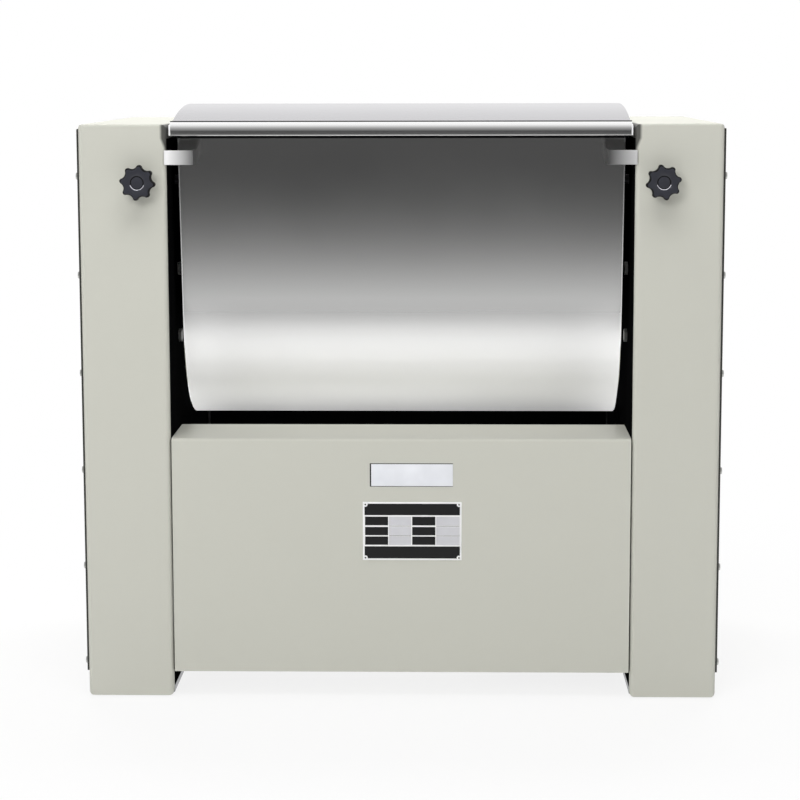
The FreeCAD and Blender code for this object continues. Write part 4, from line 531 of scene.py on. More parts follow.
@dataclass(frozen=True)
class Casting:
    """Painted rough casting."""

    name: str
    colour: Colour
    roughness: float = 0.5
    roughness_swing: float = 0.16
    metallic: float = 0.0
    pits: float = 260.0
    swells: float = 40.0
    pit_share: float = 0.6
    tones: Span = (0.85, 1.12)
    depth: float = 0.0004

    def mix(self) -> bpy.types.Material:
        """Mix the casting's paint.

        Returns:
            The material.
        """
        paint = Paint(self.name)
        where = paint.place()
        pit = paint.noise(where, self.pits, 4.0, 0.7)
        swell = paint.noise(where, self.swells)
        paint.set(
            Base_Color=paint.toned(swell, self.colour, self.tones),
            Metallic=self.metallic,
            Roughness=self.roughness + pit.swing(self.roughness_swing),
        )
        paint.bump(pit * self.pit_share + swell * (1 - self.pit_share), self.depth)
        return paint.material


@dataclass(frozen=True)
class Moulding:
    """Moulded plastic or rubber."""

    name: str
    colour: Colour
    roughness: float
    roughness_swing: float = 0.1
    grain: float = 900.0
    haze: float = 35.0
    tones: Span = (0.9, 1.15)
    depth: float = 0.00004

    def mix(self) -> bpy.types.Material:
        """Mix the moulding's material.

        Returns:
            The material.
        """
        paint = Paint(self.name)
        where = paint.place()
        haze = paint.noise(where, self.haze)
        paint.set(
            Base_Color=paint.toned(haze, self.colour, self.tones),
            Roughness=self.roughness + haze.swing(self.roughness_swing),
        )
        paint.bump(paint.noise(where, self.grain), self.depth)
        return paint.material


class Finish(Enum):
    """Every finish on the machine."""

    TOWER_PAINT = PowderCoat("tower_paint", srgb(203, 203, 193))
    # Casing paint with painted shade in its front upper corners beside the bin
    CASING_PAINT = PowderCoat("casing_paint_with_painted_shade", srgb(203, 203, 193), corner=srgb(84, 84, 80))
    # Black paint, made darker and without shine as painted shade in the gaps, also the back panel's
    # painted shade
    PLATE_PAINT = PowderCoat("plate_paint_and_painted_shade", srgb(12, 12, 13), roughness=0.6, shine=0.0)
    # Dark tone for the side covers' edges: painted shade
    COVER_TRIM = Moulding("cover_edge_painted_shade", srgb(52, 52, 49), 0.6)
    BIN_STEEL = BrushedMetal(
        "bin_steel",
        srgb(240, 240, 239),
        Grain.ALONG_X,
        roughness=0.15,
        lines=60,
        spread=0.03,
        depth=0.000001,
        # Painted reflection and light: a pale satin belt low on the front, emission belts for floor
        # bounce, and one negative belt of painted shade
        satin=(0.486, 0.446),
        blur=(0.505, 0.457),
        painted_bounce=((0.47, 0.425, 0.125), (0.427, 0.421, -0.045), (0.395, 0.357, 0.235)),
    )
    LID_STEEL = BrushedMetal(
        "lid_steel",
        srgb(244, 243, 246),
        Grain.ALONG_X,
        roughness=0.26,
        lines=60,
        spread=0.04,
        depth=0.000002,
    )
    EAR_STEEL = BrushedMetal(
        "ear_steel",
        srgb(238, 238, 236),
        Grain.ALONG_X,
        roughness=0.14,
        lines=60,
        spread=0.04,
        depth=0.000001,
    )
    BAR_STEEL = BrushedMetal(
        "bar_steel",
        srgb(252, 252, 252),
        Grain.ALONG_X,
        roughness=0.16,
        lines=60,
        spread=0.03,
        depth=0.0,
        # Painted highlight: an emission belt along the top of the front bar
        painted_bounce=((0.7195, 0.731, 0.44),),
        facing=(-0.214, -0.222),
    )
    BEAD_STEEL = BrushedMetal(
        "bead_steel", srgb(252, 252, 252), Grain.ALONG_X, roughness=0.16, lines=60, depth=0.0
    )
    # White for the caps on the bar's ends: painted highlight
    CAP_WHITE = Moulding("cap_painted_highlight", srgb(252, 252, 252), 0.4, depth=0.0)
    # The ears' painted reflection: light outwards, grey towards the bin, dimmer on the right
    EAR_PLATE = PaintedReflectionMetal("ear_plate", srgb(118, 118, 118), srgb(252, 252, 252), (0.258, 0.29))
    # Mid grey for the ears' legs and backs: painted shade
    EAR_BACK = BrushedMetal("ear_back_painted_shade", srgb(135, 135, 135), Grain.EVEN, roughness=0.5)
    LABEL_SILVER = Moulding("label_silver", srgb(206, 206, 210), 0.4, depth=0.0)
    LABEL_WHITE = Moulding("label_white", srgb(246, 246, 246), 0.4, depth=0.0)
    # Blackened steel, also used as painted shade on the bin rim's edges under the lid bar
    BLACKENED = BrushedMetal("blackened_steel_and_painted_shade", srgb(44, 44, 46), Grain.EVEN, roughness=0.4)
    BLADE_STEEL = BrushedMetal("blade_steel", srgb(212, 212, 210), Grain.EVEN, roughness=0.2)
    TURNED_STEEL = BrushedMetal("turned_steel", srgb(180, 180, 182), Grain.EVEN, roughness=0.3)
    PLATE_STEEL = BrushedMetal("plate_steel", srgb(150, 151, 153), Grain.ALONG_Y, roughness=0.42)
    ZINC = BrushedMetal("zinc_fasteners", srgb(190, 191, 188), Grain.EVEN, roughness=0.3)
    CASTING_PAINT = Casting("casting_paint", srgb(92, 95, 98))
    MOTOR_PAINT = Casting("motor_paint", srgb(104, 112, 120), roughness=0.42)
    PULLEY_IRON = Casting("pulley_iron", srgb(70, 71, 73), roughness=0.45, metallic=0.6)
    KNOB_PLASTIC = Moulding("knob_plastic", srgb(52, 53, 60), 0.3, depth=0.00001)
    # Near black for the knob's edge and recess: painted shade on the same plastic
    KNOB_EDGE = Moulding("knob_edge_painted_shade", srgb(6, 6, 7), 0.8, depth=0.00001)
    # Light crescent on the cap's lower rim: painted highlight
    KNOB_GLINT = Moulding("knob_painted_glint", srgb(222, 222, 230), 0.3, depth=0.0)
    WHITE_ENAMEL = Moulding("white_enamel", srgb(233, 235, 241), 0.35, depth=0.00001)
    BOX_PLASTIC = Moulding("box_plastic", srgb(70, 71, 73), 0.5)
    LABEL_INK = Moulding("label_ink", srgb(8, 8, 10), 0.6, depth=0.0)
    POINTER_INK = Moulding("pointer_ink", srgb(225, 225, 222), 0.5)
    # Rubber, also used for the dark strips of painted shade on the towers' rear edges
    RUBBER = Moulding("rubber", srgb(26, 26, 26), 0.8, grain=420.0, depth=0.0002)

    def material(self) -> bpy.types.Material:
        """The finish's material, mixed on first use."""
        found = bpy.data.materials.get(self.value.name)
        return found if found else self.value.mix()


# Mesh work


def only(kind: type, items: Iterable) -> list:
    """The items of one kind, such as the vertices among mixed geometry."""
    return [item for item in items if isinstance(item, kind)]


class Workpiece:
    """A mesh in the making, shaped by mesh operators."""

    ROD_SIDES = 32
    ROUNDING_STEPS = 2
    LEAST_ROUNDED_BEND = 60.0

    def __init__(self, node: str | None = None) -> None:
        """Start with no geometry, or with a merged copy of a frame node's mesh.

        Args:
            node: The frame node.
        """
        self.shape = bmesh.new()
        if node is not None:
            self.shape.from_mesh(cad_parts[node].data)
            bmesh.ops.remove_doubles(self.shape, verts=self.shape.verts, dist=MERGE_DISTANCE)

    def finish(self, verts: Iterable[bmesh.types.BMVert], number: int) -> None:
        """Give the faces at some vertices one of the piece's finishes."""
        for face in {face for vert in verts for face in vert.link_faces}:
            face.material_index = number

    def block(self, low: Point, high: Point, finish: int = 0) -> list[bmesh.types.BMVert]:
        """A block between two corners.

        Args:
            low: Lowest corner.
            high: Highest corner.
            finish: Number of its finish.

        Returns:
            The block's vertices.
        """
        verts = bmesh.ops.create_cube(self.shape, size=1.0)["verts"]
        extent = [b - a for a, b in zip(low, high)]
        middle = [(a + b) / 2 for a, b in zip(low, high)]
        bmesh.ops.scale(self.shape, vec=extent, verts=verts)
        bmesh.ops.translate(self.shape, vec=middle, verts=verts)
        self.finish(verts, finish)
        return verts

    def rod(self, start: Point, end: Point, radius: float, finish: int = 0) -> None:
        """A round rod between two points.

        Args:
            start: Centre of the first end.
            end: Centre of the second end.
            radius: Its radius.
            finish: Number of its finish.
        """
        first, second = Vector(start), Vector(end)
        along = second - first
        turn = along.to_track_quat("Z", "Y").to_matrix().to_4x4()
        verts = bmesh.ops.create_cone(
            self.shape,
            cap_ends=True,
            segments=self.ROD_SIDES,
            radius1=radius,
            radius2=radius,
            depth=along.length,
            matrix=Matrix.Translation((first + second) / 2) @ turn,
        )["verts"]
        self.finish(verts, finish)

    def pull(self, edges: Sequence[bmesh.types.BMEdge], way: Point) -> list[bmesh.types.BMVert]:
        """Extrude edges one way.

        Args:
            edges: The edges.
            way: How far and which way.

        Returns:
            The vertices that were pulled out.
        """
        made = bmesh.ops.extrude_edge_only(self.shape, edges=edges)["geom"]
        verts = only(bmesh.types.BMVert, made)
        bmesh.ops.translate(self.shape, vec=way, verts=verts)
        return verts

    def close(self) -> None:
        """Fill every open loop."""
        open_edges = [edge for edge in self.shape.edges if edge.is_boundary]
        bmesh.ops.holes_fill(self.shape, edges=open_edges, sides=0)

    def round_edges(self, width: float, verts: Iterable[bmesh.types.BMVert] = ()) -> None:
        """Round the edges that bend sharply.

        Args:
            width: Width of the rounding.
            verts: Only edges between these vertices, or all if empty.
        """
        chosen = set(verts)
        self.shape.normal_update()
        edges = [
            edge
            for edge in self.shape.edges
            if len(edge.link_faces) == 2
            and math.degrees(edge.calc_face_angle(0.0)) > self.LEAST_ROUNDED_BEND
            and (not chosen or set(edge.verts) <= chosen)
        ]
        bmesh.ops.bevel(
            self.shape,
            geom=edges,
            offset=width,
            offset_type="OFFSET",
            segments=self.ROUNDING_STEPS,
            profile=0.5,
            affect="EDGES",
            material=-1,
            clamp_overlap=True,
        )

    def repeat(self, moves: Sequence[Matrix]) -> None:
        """Leave one copy of everything made so far at each move.

        Args:
            moves: Where the copies go; the first copy is the original.
        """
        first = [*self.shape.verts, *self.shape.edges, *self.shape.faces]
        made = [bmesh.ops.duplicate(self.shape, geom=first)["geom"] for _ in moves[1:]]
        for move, copy in zip(moves, [first, *made]):
            bmesh.ops.transform(self.shape, matrix=move, verts=only(bmesh.types.BMVert, copy))

    def piece(
        self,
        name: str,
        body: str,
        finishes: Sequence[Finish],
        stands_for: Sequence[str] = (),
        smooth: float = 35.0,
        outward: bool = True,
    ) -> bpy.types.Object:
        """Turn the mesh into an object that rides on a body.

        Args:
            name: Name of the piece.
            body: The moving body that it rides on.
            finishes: Finish of each material number.
            stands_for: Frame nodes that it replaces.
            smooth: Edges that bend by more degrees than this stay sharp.
            outward: Turn all faces outwards first.

        Returns:
            The new object.
        """
        if outward:
            bmesh.ops.recalc_face_normals(self.shape, faces=self.shape.faces)
        for face in self.shape.faces:
            face.smooth = True
        for edge in self.shape.edges:
            edge.smooth = (
                len(edge.link_faces) == 2
                and math.degrees(edge.calc_face_angle(math.pi)) <= smooth
            )
        mesh = bpy.data.meshes.new(name)
        self.shape.to_mesh(mesh)
        self.shape.free()
        for finish in finishes:
            mesh.materials.append(finish.material())
        made = bpy.data.objects.new(name, mesh)
        bpy.context.scene.collection.objects.link(made)
        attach(made, body)
        if stands_for:
            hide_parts(*stands_for)
        LOG.info("made %s: %d faces on %s", name, len(mesh.polygons), body)
        return made


@dataclass(frozen=True)
class Refit:
    """How a frame node is stood in for by a smooth-shaded copy with softened edges."""

    flat_bend: float = math.radians(0.6)
    soft_bend: float = math.radians(40)
    soft_steps: int = 2

    def __call__(self, node: str, body: str, finish: Finish, slot: str, edge: float) -> None:
        """Stand the copy in the node's place.

        Args:
            node: The frame node.
            body: The body that it rides on.
            finish: Its finish.
            slot: The record's material slot; not used.
            edge: Width of the softened edges, none at zero.
        """
        work = Workpiece(node)
        bmesh.ops.dissolve_limit(
            work.shape,
            angle_limit=self.flat_bend,
            verts=work.shape.verts,
            edges=work.shape.edges,
            delimit=set(),
        )
        work.finish(work.shape.verts, 0)
        made = work.piece(f"{node}_dressed", body, [finish], [node], outward=False)
        if edge:
            bevel = made.modifiers.new("softened_edges", "BEVEL")
            bevel.width = edge
            bevel.segments = self.soft_steps
            bevel.limit_method = "ANGLE"
            bevel.angle_limit = self.soft_bend
            bevel.harden_normals = True


refit = Refit()


def dress(finish: Finish, *nodes: str) -> None:
    """Give frame nodes their finish and leave their shapes alone.

    Args:
        finish: The finish.
        nodes: The frame nodes.
    """
    for node in nodes:
        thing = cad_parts[node]
        for slot in thing.material_slots:
            slot.material = finish.material()
        if not thing.material_slots:
            thing.data.materials.append(finish.material())
        LOG.info("dressed %s in %s", node, finish.value.name)


def two_tone(
    name: str,
    node: str,
    body: str,
    finishes: Sequence[Finish],
    first: Callable[[Vector], bool],
) -> None:
    """Copy a frame node and give its faces two finishes by the way they face.

    Args:
        name: Name of the piece.
        node: The frame node that it replaces.
        body: The moving body that it rides on.
        finishes: First and second finish.
        first: Says whether a face with this normal gets the first finish.
    """
    work = Workpiece(node)
    work.shape.normal_update()
    for face in work.shape.faces:
        face.material_index = 0 if first(face.normal) else 1
    work.piece(name, body, finishes, [node], outward=False)


# Sub-assemblies


@dataclass
class Towers:
    """Both painted towers: casings, covers with their screws, plates and feet."""

    cover_face: float = 0.4025
    screw_rows: tuple[float, ...] = (0.045, 0.1688, 0.2926, 0.4164, 0.5402, 0.664)
    screw_depths: Span = (-0.221, 0.221)
    head_radius: float = 0.005
    head_height: float = 0.0025
    head_flat: float = 0.8
    head_corner: float = 0.71
    recess_width: float = 0.0011
    recess_depth: float = 0.0012
    recess_taper: float = 0.8

    def build(self) -> None:
        """Dress the towers and make their screw heads."""
        for side in ("left", "right"):
            # The casings get paint with painted shade at their front upper corners
            dress(Finish.CASING_PAINT, f"{side}_tower_casing")
            # The covers' edges get a dark tone as painted shade
            two_tone(
                f"{side}_cover_with_painted_edge_shade",
                f"{side}_side_cover",
                "machine_frame",
                [Finish.TOWER_PAINT, Finish.COVER_TRIM],
                lambda normal: abs(normal.x) > MOSTLY,
            )
            # Black side plates, darkened further as painted shade in the gaps beside the bin
            dress(Finish.PLATE_PAINT, f"{side}_side_plate")
            dress(Finish.CASTING_PAINT, f"{side}_bearing_housing")
        dress(Finish.PLATE_STEEL, "base_plates")
        dress(Finish.RUBBER, "foot_pads", "shaft_seals")
        dress(Finish.ZINC, "housing_bolts")
        dress(Finish.TURNED_STEEL, "ball_bearings")
        self.screws()

    def screws(self) -> None:
        """Pan heads with a cross recess, all from one head."""
        work = Workpiece()
        head = bmesh.ops.create_grid(work.shape, x_segments=3, y_segments=3, size=1.0)["verts"]
        for vert in head:
            vert.co = self._head_point(vert.co)
        top = [face for face in work.shape.faces if self._in_recess(face)]
        rim = [edge for edge in work.shape.edges if edge.is_boundary]
        skirt = work.pull(rim, (0, 0, -self.head_height))
        spread = 1 / self.head_flat
        bmesh.ops.scale(work.shape, vec=(spread, spread, 1.0), verts=skirt)
        pit = bmesh.ops.extrude_face_region(work.shape, geom=top)["geom"]
        floor = only(bmesh.types.BMVert, pit)
        bmesh.ops.delete(work.shape, geom=top, context="FACES")
        bmesh.ops.translate(work.shape, vec=(0, 0, -self.recess_depth), verts=floor)
        bmesh.ops.scale(work.shape, vec=(self.recess_taper, self.recess_taper, 1.0), verts=floor)
        work.close()
        moves = []
        for side in (-1, 1):
            turn = Matrix.Rotation(math.radians(90 * side), 4, "Y")
            for depth in self.screw_depths:
                for height in self.screw_rows:
                    at = (side * (self.cover_face + self.head_height), depth, height)
                    moves.append(Matrix.Translation(at) @ turn)
        work.repeat(moves)
        work.piece(
            "cover_screw_heads",
            "machine_frame",
            [Finish.ZINC],
            ["cover_screws"],
            smooth=50,
            outward=False,
        )

    def _head_point(self, at: Vector) -> Vector:
        """Move a point of the three-by-three grid onto the head's outline or recess.

        Args:
            at: The point; the grid's outer points lie at 1 and its inner ones at a third.

        Returns:
            The new point.
        """
        flat, half = self.head_radius * self.head_flat, self.recess_width / 2
        across, up = abs(at.x) > MOSTLY, abs(at.y) > MOSTLY
        wide = flat if across else half
        tall = flat if up else half
        share = self.head_corner if across and up else 1.0
        return Vector((math.copysign(wide * share, at.x), math.copysign(tall * share, at.y), 0))

    def _in_recess(self, face: bmesh.types.BMFace) -> bool:
        """Whether a face of the grid belongs to the cross."""
        middle = face.calc_center_median()
        return min(abs(middle.x), abs(middle.y)) < self.recess_width / 4


@dataclass
class LowerBody:
    """Front panel with its shelf, back panel, rails, rubber strips of painted shade and the bare
    plates.

    Bands, rows, columns and rules of the data plate are shares of its height and width.
    """

    front: float = -0.235
    plate_middle: float = 0.0142
    plate_height: float = 0.2168
    plate_size: Span = (0.125, 0.075)
    plate_sheet: float = 0.001
    plate_rounding: float = 0.0003
    ink: float = 0.00012
    bands: tuple[Span, ...] = ((0.03, 0.225), (0.762, 0.968))
    rows: tuple[Span, ...] = ((0.252, 0.4), (0.428, 0.57), (0.592, 0.734))
    columns: tuple[Span, ...] = ((0.023, 0.256), (0.5, 0.734))
    band_ends: Span = (0.018, 0.982)
    rules: tuple[Span, ...] = ((0.265, 0.49), (0.743, 0.98))
    rule_rows: tuple[Span, ...] = ((0.409, 0.416), (0.577, 0.584))
    land_radius: float = 0.0029
    land_edge: float = 0.0033
    rivet_radius: float = 0.001
    rivet_height: float = 0.0006
    name_plate: tuple[float, float, float, float] = (-0.0383, 0.0651, 0.2748, 0.3027)
    name_edge: float = 0.0009
    shade_strip_across: Span = (0.289, 0.2935)
    shade_strip_deep: Span = (0.226, 0.2346)
    shade_strip_high: Span = (0.036, 0.7)

    def build(self) -> None:
        """Dress the panels and rails and make the plates' faces and the dark rear strips."""
        dress(Finish.TOWER_PAINT, "lower_front_panel")
        # Back panel faces that face neither back nor up get black paint as painted shade behind the
        # shelf
        two_tone(
            "back_panel_with_painted_shade",
            "back_panel",
            "machine_frame",
            [Finish.TOWER_PAINT, Finish.PLATE_PAINT],
            lambda normal: normal.y > MOSTLY or normal.z > MOSTLY,
        )
        dress(Finish.PLATE_PAINT, "front_base_rail", "back_base_rail")
        dress(Finish.WHITE_ENAMEL, "maker_plate")
        self.data_plate()
        self.name_plate_backing()
        self.rear_shade_strips()

    def data_plate(self) -> None:
        """A bare plate whose printed bands and fields carry no words."""
        white, black, silver = range(3)
        wide, tall = self.plate_size
        left = self.plate_middle - wide / 2
        top = self.plate_height + tall / 2
        face = self.front - self.plate_sheet
        work = Workpiece()
        work.block((left, face + self.ink, top - tall), (left + wide, self.front, top), white)
        work.round_edges(self.plate_rounding)
        fields = [(self.band_ends, band, black) for band in self.bands]
        fields += [(column, row, black) for row in self.rows for column in self.columns]
        fields += [(rule, row, black) for row in self.rule_rows for rule in self.rules]
        fields += [(rule, row, silver) for row in self.rows for rule in self.rules]
        for (start, end), (high, low), finish in fields:
            work.block(
                (left + wide * start, face, top - tall * low),
                (left + wide * end, face + self.ink * 2, top - tall * high),
                finish,
            )
        for x in (left + self.land_edge, left + wide - self.land_edge):
            for z in (top - self.land_edge, top - tall + self.land_edge):
                work.rod((x, face - self.ink, z), (x, face + self.ink, z), self.land_radius)
                work.rod((x, face - self.rivet_height, z), (x, face, z), self.rivet_radius, black)
        work.piece(
            "data_plate_face",
            "machine_frame",
            [Finish.LABEL_WHITE, Finish.LABEL_INK, Finish.LABEL_SILVER],
            ["data_plate", "data_plate_rivets"],
            outward=False,
        )

    def name_plate_backing(self) -> None:
        """A dark backing that shows as a thin frame around the upper plate."""
        west, east, low, high = self.name_plate
        edge = self.name_edge
        work = Workpiece()
        work.block(
            (west - edge, self.front - self.ink, low - edge),
            (east + edge / 2, self.front, high + edge),
        )
        work.piece("name_plate_backing", "machine_frame", [Finish.BLACKENED])

    def rear_shade_strips(self) -> None:
        """Rubber strips on the towers' rear edges, which close the gaps beside the back panel and cover
        their lit flanges as painted shade.
        """
        work = Workpiece()
        for side in (-1, 1):
            ends = sorted(side * reach for reach in self.shade_strip_across)
            work.block(*zip(ends, self.shade_strip_deep, self.shade_strip_high))
        # Dark strips: painted shade over the towers' rear flanges
        work.piece("rear_painted_shade_strips", "machine_frame", [Finish.RUBBER])


@dataclass
class Bin:
    """The tilting stainless bin with its ears, rim, hubs and hinge brackets."""

    axis_height: float = 0.497
    radius: float = 0.159
    sheet: float = 0.002
    slope: float = math.radians(8)
    rise: float = 0.213
    half_length: float = 0.279
    arc_steps: int = 72
    weld_radius: float = 0.0011
    weld_sides: int = 8
    weld_at: float = 0.281
    ear_heights: Span = (0.6783, 0.6962)
    ear_front: float = -0.2373
    ear_sheet: float = 0.002
    ear_spans: tuple[Span, Span] = ((-0.293, -0.257), (0.293, 0.256))
    ear_lean: float = math.radians(6)
    ear_cuts: int = 8
    ear_rounding: float = 0.0006

    def build(self) -> None:
        """Make the bin's smooth wall, welds and ears and dress the rest."""
        self.wrapper()
        self.end_welds()
        dress(Finish.BIN_STEEL, "left_bin_end", "right_bin_end")
        # The rim's upright faces are dark as painted shade, the shadow gap under the lid bar
        two_tone(
            "bin_rim_with_painted_shade",
            "bin_rim",
            "bin",
            [Finish.BIN_STEEL, Finish.BLACKENED],
            lambda normal: abs(normal.z) > MOSTLY,
        )
        dress(Finish.TURNED_STEEL, "bin_hubs")
        dress(Finish.BLACKENED, "lock_stubs")
        self.ears()
        refit("hinge_brackets", "bin", Finish.EAR_STEEL, "polished_stainless", 0.0004)

    def _start(self, across: float) -> Point:
        """Where the front wall meets the round bottom, at a place across the machine."""
        out, down = self.radius * math.cos(self.slope), self.radius * math.sin(self.slope)
        return across, -out, self.axis_height - down

    def _up(self, direction: int) -> Vector:
        """Way up the front wall at -1 and up the back wall at 1."""
        return Vector((0, direction * math.sin(self.slope), math.cos(self.slope)))

    def _wall_front(self, height: float) -> float:
        """How far forward the front wall stands at a height above the floor."""
        rise = height - self.axis_height
        return -(self.radius + rise * math.sin(self.slope)) / math.cos(self.slope)

    def _sweep(
        self,
        work: Workpiece,
        verts: Sequence[bmesh.types.BMVert],
        edges: Sequence[bmesh.types.BMEdge],
    ) -> None:
        """Spin a profile around the bin's bottom and pull both ends up its walls.

        Args:
            work: The mesh in the making.
            verts: The profile's vertices, at the foot of the front wall.
            edges: The profile's edges.
        """
        last = bmesh.ops.spin(
            work.shape,
            geom=[*verts, *edges],
            cent=(0, 0, self.axis_height),
            axis=(1, 0, 0),
            angle=math.pi - 2 * self.slope,
            steps=self.arc_steps,
        )["geom_last"]
        length = (self.rise + self.radius * math.sin(self.slope)) / math.cos(self.slope)
        work.pull(edges, self._up(-1) * length)
        work.pull(only(bmesh.types.BMEdge, last), self._up(1) * length)

    def wrapper(self) -> None:
        """One sheet, spun for the round bottom and pulled up for the walls."""
        work = Workpiece()
        ends = [
            work.shape.verts.new(self._start(across))
            for across in (-self.half_length, self.half_length)
        ]
        self._sweep(work, ends, [work.shape.edges.new(ends)])
        bmesh.ops.recalc_face_normals(work.shape, faces=work.shape.faces)
        lowest = min(work.shape.faces, key=lambda item: item.calc_center_median().z)
        if lowest.normal.z > 0:
            bmesh.ops.reverse_faces(work.shape, faces=work.shape.faces)
        bmesh.ops.solidify(work.shape, geom=work.shape.faces[:], thickness=self.sheet)
        work.piece("bin_wall", "bin", [Finish.BIN_STEEL], ["bin_wrapper"])

    def end_welds(self) -> None:
        """Ground weld beads along both ends of the bin."""
        work = Workpiece()
        turn = self._up(-1).to_track_quat("Z", "Y").to_matrix().to_4x4()
        for across in (-self.weld_at, self.weld_at):
            ring = bmesh.ops.create_circle(
                work.shape,
                cap_ends=False,
                segments=self.weld_sides,
                radius=self.weld_radius,
                matrix=Matrix.Translation(self._start(across)) @ turn,
            )["verts"]
            self._sweep(work, ring, list({edge for vert in ring for edge in vert.link_edges}))
        work.close()
        work.piece("bin_end_welds", "bin", [Finish.BEAD_STEEL])

    def ears(self) -> None:
        """Plates that lap over the towers, twisted towards the wall's slope, each on a leg."""
        plate, leg = range(2)
        low, high = self.ear_heights
        back = self.ear_front + self.ear_sheet
        work = Workpiece()
        for outer, inner in self.ear_spans:
            start, end = sorted((outer, inner))
            work.block((start, self.ear_front, low), (end, back, high))
            for number in range(1, self.ear_cuts):
                everything = [*work.shape.verts, *work.shape.edges, *work.shape.faces]
                at = outer + (inner - outer) * number / self.ear_cuts
                bmesh.ops.bisect_plane(
                    work.shape, geom=everything, plane_co=(at, 0, 0), plane_no=(1, 0, 0)
                )
        for vert in work.shape.verts:
            outer, inner = self.ear_spans[vert.co.x > 0]
            share = (vert.co.x - outer) / (inner - outer)
            lean = share * share * (3 - 2 * share) * math.tan(self.ear_lean)
            vert.co.y -= (vert.co.z - (low + high) / 2) * lean
        work.round_edges(self.ear_rounding)
        work.shape.normal_update()
        for face in work.shape.faces:
            face.material_index = leg if face.normal.y > MOSTLY else plate
        for _, inner in self.ear_spans:
            start, end = sorted((inner, inner + math.copysign(self.ear_sheet, inner)))
            verts = work.block((start, back - self.ear_sheet / 2, low), (end, 0, high), leg)
            for vert in verts:
                if vert.co.y > back:
                    vert.co.y = self._wall_front(vert.co.z)
        # Plates carry the painted reflection, legs and backs the painted shade
        work.piece(
            "ear_plates",
            "bin",
            [Finish.EAR_PLATE, Finish.EAR_BACK],
            ["stop_ears"],
            smooth=12,
        )


@dataclass
class Lid:
    """The hinged lid with its rolled front bar."""

    half_length: float = 0.2868
    front: float = -0.228
    back: float = -0.198
    bottom: float = 0.714
    top: float = 0.731
    sheet: float = 0.003
    roll: float = 0.01
    tuck: float = math.radians(10)
    bead: float = 0.0009
    bead_reach: float = 0.75
    bead_arc: Span = (math.pi * 0.8, math.pi * 1.9)
    arc_steps: int = 20
    cap: float = 0.001
    cap_end: float = 0.2878
    cap_proud: float = 0.0002
    cap_drop: float = 0.0035
    cap_rounding: float = 0.0004
    seam_at: float = -0.2185
    seam_line: float = 0.001
    seam_top: float = 0.7321

    def build(self) -> None:
        """Smooth the lid's pieces and make its front bar."""
        refit("lid_shell", "lid", Finish.LID_STEEL, "stainless", 0.0003)
        refit("hinge_leaves", "lid", Finish.EAR_STEEL, "polished_stainless", 0.0004)
        dress(Finish.LID_STEEL, "lid_skirts")
        self.bar()
        self.seam()

    def _arc(self, centre: Span, radius: float, first: float, last: float) -> list[Span]:
        """Points of an arc in the side view.

        Args:
            centre: Its centre.
            radius: Its radius.
            first: Angle of its first point, from the back, over the top.
            last: Angle of its last point.

        Returns:
            The points.
        """
        steps = range(self.arc_steps + 1)
        angles = [first + (last - first) * step / self.arc_steps for step in steps]
        return [
            (centre[0] + radius * math.cos(angle), centre[1] + radius * math.sin(angle))
            for angle in angles
        ]

    def seam(self) -> None:
        """Dark joint line between the lid's shell and its front bar."""
        work = Workpiece()
        work.block(
            (-self.half_length, self.seam_at, self.top - self.seam_line),
            (self.half_length, self.seam_at + self.seam_line, self.seam_top),
        )
        work.piece("lid_bar_seam", "lid", [Finish.BLACKENED])

    def bar(self) -> None:
        """Front bar: rolled over the top, tucked in below, with a bead and closed ends."""
        steel, cap = range(2)
        centre = (self.front + self.roll, self.top - self.roll)
        outer = self._arc(centre, self.roll, math.pi / 2, math.pi + self.tuck)
        bead_height = self.bottom + self.bead
        slant = (outer[-1][1] - bead_height) * math.tan(self.tuck)
        bead_centre = (outer[-1][0] + slant + self.bead * self.bead_reach, bead_height)
        bead = self._arc(bead_centre, self.bead, *self.bead_arc)
        inner = self._arc(centre, self.roll - self.sheet, math.pi, math.pi / 2)
        outline = [(self.back, self.top), *outer, *bead, *inner, (self.back, self.top - self.sheet)]
        work = Workpiece()
        verts = [work.shape.verts.new((-self.half_length, *point)) for point in outline]
        end = work.shape.faces.new(verts)
        pulled = bmesh.ops.extrude_face_region(work.shape, geom=[end])["geom"]
        far = only(bmesh.types.BMVert, pulled)
        bmesh.ops.translate(work.shape, vec=(2 * self.half_length, 0, 0), verts=far)
        bmesh.ops.recalc_face_normals(work.shape, faces=work.shape.faces)
        work.finish(work.shape.verts, steel)
        # Caps closing the bar's ends, white as a painted highlight
        for side in (-1, 1):
            start, stop = sorted((side * self.cap_end, side * (self.half_length - self.cap)))
            verts = work.block(
                (start, self.front - self.cap_proud, self.bottom),
                (stop, self.front + self.sheet, self.top - self.cap_drop),
                cap,
            )
            work.round_edges(self.cap_rounding, verts)
        work.piece(
            "lid_bar",
            "lid",
            [Finish.BAR_STEEL, Finish.CAP_WHITE],
            ["lid_front_bar"],
            smooth=30,
        )


@dataclass
class MixingRotor:
    """Shafts, arms and wound blades inside the bin, and the large gear."""

    blade_edge: float = 0.0
    arm_edge: float = 0.001

    def build(self) -> None:
        """Smooth the blades and arms and dress the rest."""
        smoothed = {
            "first_mixing_blade": self.blade_edge,
            "second_mixing_blade": self.blade_edge,
            "left_rotor_arm": self.arm_edge,
            "right_rotor_arm": self.arm_edge,
        }
        for node, edge in smoothed.items():
            refit(node, "mixing_rotor", Finish.BLADE_STEEL, "polished_stainless", edge)
        dress(Finish.TURNED_STEEL, "left_mixing_shaft", "right_mixing_shaft", "large_gear")


